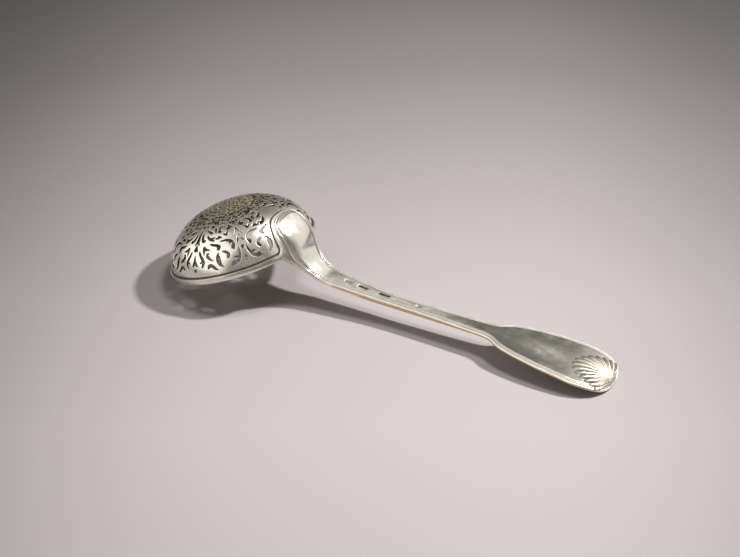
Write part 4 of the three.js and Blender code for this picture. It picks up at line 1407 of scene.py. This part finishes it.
def mixed_colour(tree, factor, first, second):
    first, second = ((*c, 1) if isinstance(c, tuple) else c for c in (first, second))
    inputs = {0: factor, 6: first, 7: second}
    return add_node(tree, "ShaderNodeMix", inputs, data_type="RGBA").outputs[2]


def group_node(tree, group, **values):
    return add_node(tree, "ShaderNodeGroup", values, node_tree=group).outputs[0]


def stored(tree, name):
    """A number that a mesh keeps for each of its points."""
    return add_node(tree, "ShaderNodeAttribute", {}, attribute_name=name).outputs["Fac"]


def metal(name, roughness, clouds, hairlines, haze, waviness, tint=(1, 1, 1), gilt=False):
    """Old silver with hairlines, tarnish and painted shade where its mesh holds them, and a
    hand-made waviness.

    Where it is gilt, its mesh says how much gold a place holds.
    """
    material = bpy.data.materials.new(name)
    material.use_nodes = True
    tree = material.node_tree
    tree.nodes.clear()
    out = tree.nodes.new("ShaderNodeOutputMaterial")
    shader = tree.nodes.new("ShaderNodeBsdfPrincipled")
    joined(tree, shader.outputs[0], out.inputs["Surface"])
    where = tree.nodes.new("ShaderNodeTexCoord").outputs["Object"]
    depth = remap(tree, stored(tree, "hollow"), 0.1, 0.8)
    tarnish_and_shade = group_node(tree, TARNISH_AND_SHADE, Vector=where, Hollow=depth, Clouds=clouds)
    scratches = calculate(tree, "MULTIPLY", group_node(tree, SCRATCHES, Vector=where), hairlines)
    clouded = calculate(tree, "MULTIPLY", group_node(tree, HAZE, Vector=where), haze)
    bright, dull = (tuple(np.multiply(c, tint)) for c in (SILVER_BRIGHT, SILVER_DULL))
    if gilt:
        uneven = patches(tree, where, GOLD_PATCHES, -0.45, 0.45)
        gold = calculate(tree, "ADD", stored(tree, "gilding"), uneven)
        shown = remap(tree, gold, 0.35, 0.7)
        shade = np.multiply(tint, GILT_SHADING) + (1 - GILT_SHADING)
        bright = mixed_colour(tree, shown, bright, tuple(np.multiply(GILT_BRIGHT, shade)))
        dull = mixed_colour(tree, shown, dull, tuple(np.multiply(GILT_DULL, shade)))
    # The dull colour shows where tarnish and painted shade are held
    colour = mixed_colour(tree, tarnish_and_shade, bright, dull)
    joined(tree, colour, shader.inputs["Base Color"])
    uneven = patches(tree, where, UNEVEN_WEAR, 0.55)
    rubbed = calculate(tree, "MULTIPLY", stored(tree, "wear"), uneven)
    rubbed = calculate(tree, "MULTIPLY", rubbed, calculate(tree, "SUBTRACT", 1, depth))
    dulling = [(clouded, HAZE_DULLS), (scratches, HAIRLINES_DULL), (rubbed, WEAR_DULLS)]
    if gilt:
        dulling.append((shown, GILDING_DULLS))
    polish = 1
    for mark, strength in dulling:
        polish = calculate(tree, "MULTIPLY_ADD", mark, -strength, polish)
    joined(tree, polish, shader.inputs["Metallic"])
    worn = calculate(tree, "MULTIPLY_ADD", tarnish_and_shade, TARNISH_ROUGHENS, roughness)
    worn = calculate(tree, "MULTIPLY_ADD", clouded, HAZE_ROUGHENS, worn)
    worn = calculate(tree, "MULTIPLY_ADD", scratches, HAIRLINES_ROUGHEN, worn)
    worn = calculate(tree, "MULTIPLY_ADD", rubbed, WEAR_ROUGHENS, worn)
    joined(tree, worn, shader.inputs["Roughness"])
    wave = calculate(tree, "MULTIPLY", noise(tree, where, 75, 2.0), waviness)
    lines = calculate(tree, "MULTIPLY_ADD", scratches, -HAIRLINE_DEPTH, wave)
    pits = calculate(tree, "MULTIPLY_ADD", noise(tree, where, 2600, 2.0), PIT_HEIGHT, lines)
    bump = add_node(tree, "ShaderNodeBump", {"Strength": 1, "Distance": 1, "Height": pits})
    joined(tree, bump.outputs[0], shader.inputs["Normal"])
    return material


# Each metal: roughness, clouds of tarnish, hairlines, haze of wear and waviness in metres
bowl_silver = metal("aged_silver_bowl", 0.24, 0.3, 0.6, 0.5, 0.00010, gilt=True)
# Hole walls: a dark tint paints the shade inside the holes, and they are gilt toward the crown
hole_silver = metal(
    "hole_walls_painted_shade", 0.3, 0.5, 0, 0, 0.00005, tint=(0.2, 0.17, 0.13), gilt=True
)
mount_silver = metal("aged_silver_mount", 0.22, 0.2, 0.5, 0.5, 0.00006)
rim_silver = metal("worn_silver_rim", 0.3, 0.3, 0.3, 0.5, 0.00005, tint=(0.95, 0.88, 0.78))
handle_silver = metal("aged_silver_handle", 0.14, 0.3, 0.8, 1.0, 0.00009)
shell_silver = metal("worn_silver_shell", 0.27, 0.1, 0.3, 0.3, 0.00002, tint=(1, 0.98, 0.94))
# The handle's sides take a warm brown tint, a painted reflection of the table beside them
edge_silver = metal("silver_edge_painted_reflection", 0.3, 0.2, 0.4, 0.5, 0.00004, tint=(0.8, 0.63, 0.48))

make_bowl(bowl_silver, hole_silver)
make_mount(mount_silver, rim_silver)
make_handle(handle_silver, edge_silver)
make_shell("shell_front", shell_silver, HANDLE_FACE - FACE_RELIEF - FIELD_DEPTH, 1)
make_shell("shell_back", shell_silver, HANDLE_FACE - FIDDLE_THICKNESS + FIELD_DEPTH, -1)


# Table, light and camera

TABLE_COLOUR = (0.48, 0.437, 0.444)
# Painted falloff of the light on the paper, from before the spoon to far behind it
TABLE_PAINTED_FALLOFF = [(1.0, 0.2), (0.0, 0.96), (0.2, 1.03), (0.35, 0.93), (0.5, 0.735), (0.75, 0.405)]
TABLE_MIDDLE = -0.012  # where the painted light on the paper is brightest, from the middle toward the right
TABLE_HALF_WIDTH = 0.17  # how far to each side the painted light has fallen by half
TABLE_FALL = 3.5  # how suddenly the painted light falls off there
TABLE_EDGE = 0.2  # the share of the painted light that is left far to the side
TABLE_REACH = 4.0
TABLE_TURN = math.radians(-29.7)  # the painted falloff runs back along the camera's own direction
TABLE_RUN = (-0.2, 0.4)  # the distances between which the painted falloff changes
PAPER_GRAIN = (1400, 3.0, 0.5, 0.3, 0.7)


def make_table():
    """A sheet of paper with a painted falloff of light: pale under the spoon, darker far behind it
    and to the sides.
    """
    mesh = bpy.data.meshes.new("table")
    corners = ((-1, -1), (1, -1), (1, 1), (-1, 1))
    corners = [(x * TABLE_REACH, y * TABLE_REACH, 0) for x, y in corners]
    mesh.from_pydata(corners, [], [(0, 1, 2, 3)])
    table = bpy.data.objects.new("table", mesh)
    bpy.context.scene.collection.objects.link(table)
    material = bpy.data.materials.new("paper_painted_falloff")
    material.use_nodes = True
    tree = material.node_tree
    shader = tree.nodes["Principled BSDF"]
    shader.inputs["Roughness"].default_value = 0.8
    where = tree.nodes.new("ShaderNodeTexCoord").outputs["Object"]
    turned = stretched(tree, where, (0, 0, TABLE_TURN), (1, 1, 1))
    across, back, _ = coordinates(tree, turned)
    # The paper's colour carries a painted falloff of the light, toward the back and to the sides
    shade = tree.nodes.new("ShaderNodeValToRGB")
    joined(tree, remap(tree, back, *TABLE_RUN), shade.inputs[0])
    stops = shade.color_ramp.elements
    for place, value in TABLE_PAINTED_FALLOFF:
        stop = stops.new(place) if 0 < place < 1 else stops[-1 if place else 0]
        stop.color = (*(value * part for part in TABLE_COLOUR), 1)
    grain = patches(tree, where, PAPER_GRAIN, 0.97, 1.03)
    tint = tree.nodes.new("ShaderNodeVectorMath")
    tint.operation = "SCALE"
    joined(tree, shade.outputs["Color"], tint.inputs[0])
    aside = calculate(tree, "SUBTRACT", across, TABLE_MIDDLE)
    share = calculate(tree, "DIVIDE", calculate(tree, "ABSOLUTE", aside), TABLE_HALF_WIDTH)
    fall = calculate(tree, "ADD", calculate(tree, "POWER", share, TABLE_FALL), 1)
    fall = calculate(tree, "DIVIDE", 1, fall)
    fall = calculate(tree, "MULTIPLY_ADD", fall, 1 - TABLE_EDGE, TABLE_EDGE)
    joined(tree, calculate(tree, "MULTIPLY", grain, fall), tint.inputs["Scale"])
    joined(tree, tint.outputs[0], shader.inputs["Base Color"])
    mesh.materials.append(material)


# Lamps: name, size, watts, and azimuth and elevation in degrees
LAMPS = [("key", 0.085, 14, 47, 48.5), ("second", 0.3, 4.6, 55, 71)]
LAMP_DISTANCE = 1.1
LAMP_COLOUR = (1, 0.985, 0.965)


def direction(azimuth, elevation):
    a, e = math.radians(azimuth), math.radians(elevation)
    return Vector((math.cos(a) * math.cos(e), math.sin(a) * math.cos(e), math.sin(e)))


def make_lamp(name, size, energy, azimuth, elevation):
    light = bpy.data.lights.new(name, "AREA")
    light.shape = "DISK"
    light.size = size
    light.energy = energy
    light.color = LAMP_COLOUR
    lamp = bpy.data.objects.new(name, light)
    lamp.location = direction(azimuth, elevation) * LAMP_DISTANCE
    lamp.rotation_mode = "QUATERNION"
    lamp.rotation_quaternion = (-lamp.location).to_track_quat("-Z", "Y")
    bpy.context.scene.collection.objects.link(lamp)


# Softboxes round the table: azimuth of the middle, half the width, lowest and highest elevation
# (all in degrees), how soft the edges are, brightness and colour
SOFTBOXES = [
    (-137, 45, -20, 60, 6, 1.15, (1, 0.975, 0.94)),
    (-57, 27, 12, 72, 8, 0.14, (1, 0.99, 0.96)),
    (-3, 8, 12, 62, 4, 0.7, (1, 0.98, 0.96)),
    (65, 34, -10, 74, 5, 0.65, (1, 0.97, 0.94)),
    (150, 28, -5, 60, 8, 0.04, (1, 0.98, 0.9)),
    (0, 190, 62, 120, 6, 0.3, (1, 0.98, 0.96)),
]
STUDIO_GREY = (0.14, 0.138, 0.128)
BOX_SHARE = 0.35  # of their light that falls on the paper


def softbox_group():
    """Brightness of one softbox in a direction."""
    names = ["Azimuth", "Half Width", "Low", "High", "Softness", "Brightness"]
    inputs = [(name, "NodeSocketFloat", 0.0) for name in names]
    group, given, out = new_group(
        "softbox",
        [("Vector", "NodeSocketVector", (0, 0, 0)), *inputs],
        [("Light", "NodeSocketFloat")],
    )

    def math_of(operation, *values):
        return calculate(group, operation, *values)

    x, y, z = coordinates(group, given.outputs["Vector"])
    middle = given.outputs["Azimuth"]
    cos, sin = math_of("COSINE", middle), math_of("SINE", middle)
    ahead = math_of("ADD", math_of("MULTIPLY", x, cos), math_of("MULTIPLY", y, sin))
    aside = math_of("SUBTRACT", math_of("MULTIPLY", y, cos), math_of("MULTIPLY", x, sin))
    around = math_of("ABSOLUTE", math_of("ARCTAN2", aside, ahead))
    up = math_of("ARCSINE", z)
    soft = given.outputs["Softness"]

    def share(inside):
        edge = math_of("DIVIDE", inside, soft)
        node = group.nodes.new("ShaderNodeMapRange")
        node.interpolation_type = "SMOOTHSTEP"
        joined(group, edge, node.inputs["Value"])
        node.inputs["From Min"].default_value = -1
        return node.outputs["Result"]

    wide = share(math_of("SUBTRACT", given.outputs["Half Width"], around))
    low = share(math_of("SUBTRACT", up, given.outputs["Low"]))
    high = share(math_of("SUBTRACT", given.outputs["High"], up))
    lit = math_of("MULTIPLY", math_of("MULTIPLY", wide, low), high)
    lit = math_of("MULTIPLY", lit, given.outputs["Brightness"])
    joined(group, lit, out.inputs["Light"])
    return group


def make_studio():
    world = bpy.data.worlds.new("studio")
    world.use_nodes = True
    tree = world.node_tree
    background = tree.nodes["Background"]
    where = tree.nodes.new("ShaderNodeTexCoord").outputs["Generated"]
    group = softbox_group()
    total = STUDIO_GREY
    for azimuth, half, low, high, soft, brightness, colour in SOFTBOXES:
        angles = {"Azimuth": azimuth, "Half Width": half, "Low": low, "High": high}
        angles = {**angles, "Softness": soft}
        angles = {name: math.radians(degrees) for name, degrees in angles.items()}
        light = group_node(tree, group, Vector=where, Brightness=brightness, **angles)
        added = {0: light, 1: colour, 2: total}
        tint = add_node(tree, "ShaderNodeVectorMath", added, operation="MULTIPLY_ADD")
        total = tint.outputs[0]
    joined(tree, total, background.inputs["Color"])
    # The boxes are seen in the silver, and light the paper less than the lamps do
    path = tree.nodes.new("ShaderNodeLightPath")
    strength = calculate(tree, "MULTIPLY_ADD", path.outputs["Is Diffuse Ray"], BOX_SHARE - 1, 1)
    joined(tree, strength, background.inputs["Strength"])
    bpy.context.scene.world = world


# The photograph's camera, in millimetres of the spoon's own frame
CAMERA_PLACE = (406.55, -547.62, 396.89)
CAMERA_AIM = (-0.4245, 0.7436, -0.5166)
CAMERA_LENS = 85.8
CAMERA_SENSOR = 36


def make_camera():
    camera = bpy.data.objects.new("camera", bpy.data.cameras.new("camera"))
    camera.data.sensor_width = CAMERA_SENSOR
    camera.data.lens = CAMERA_LENS
    x, y, z = CAMERA_PLACE
    camera.location = (x * MM - MIDDLE * MM, y * MM, z * MM)
    camera.rotation_mode = "QUATERNION"
    camera.rotation_quaternion = Vector(CAMERA_AIM).to_track_quat("-Z", "Y")
    bpy.context.scene.collection.objects.link(camera)
    bpy.context.scene.camera = camera


make_table()
for lamp in LAMPS:
    make_lamp(*lamp)
make_studio()
make_camera()
bpy.context.scene.view_settings.view_transform = "Standard"
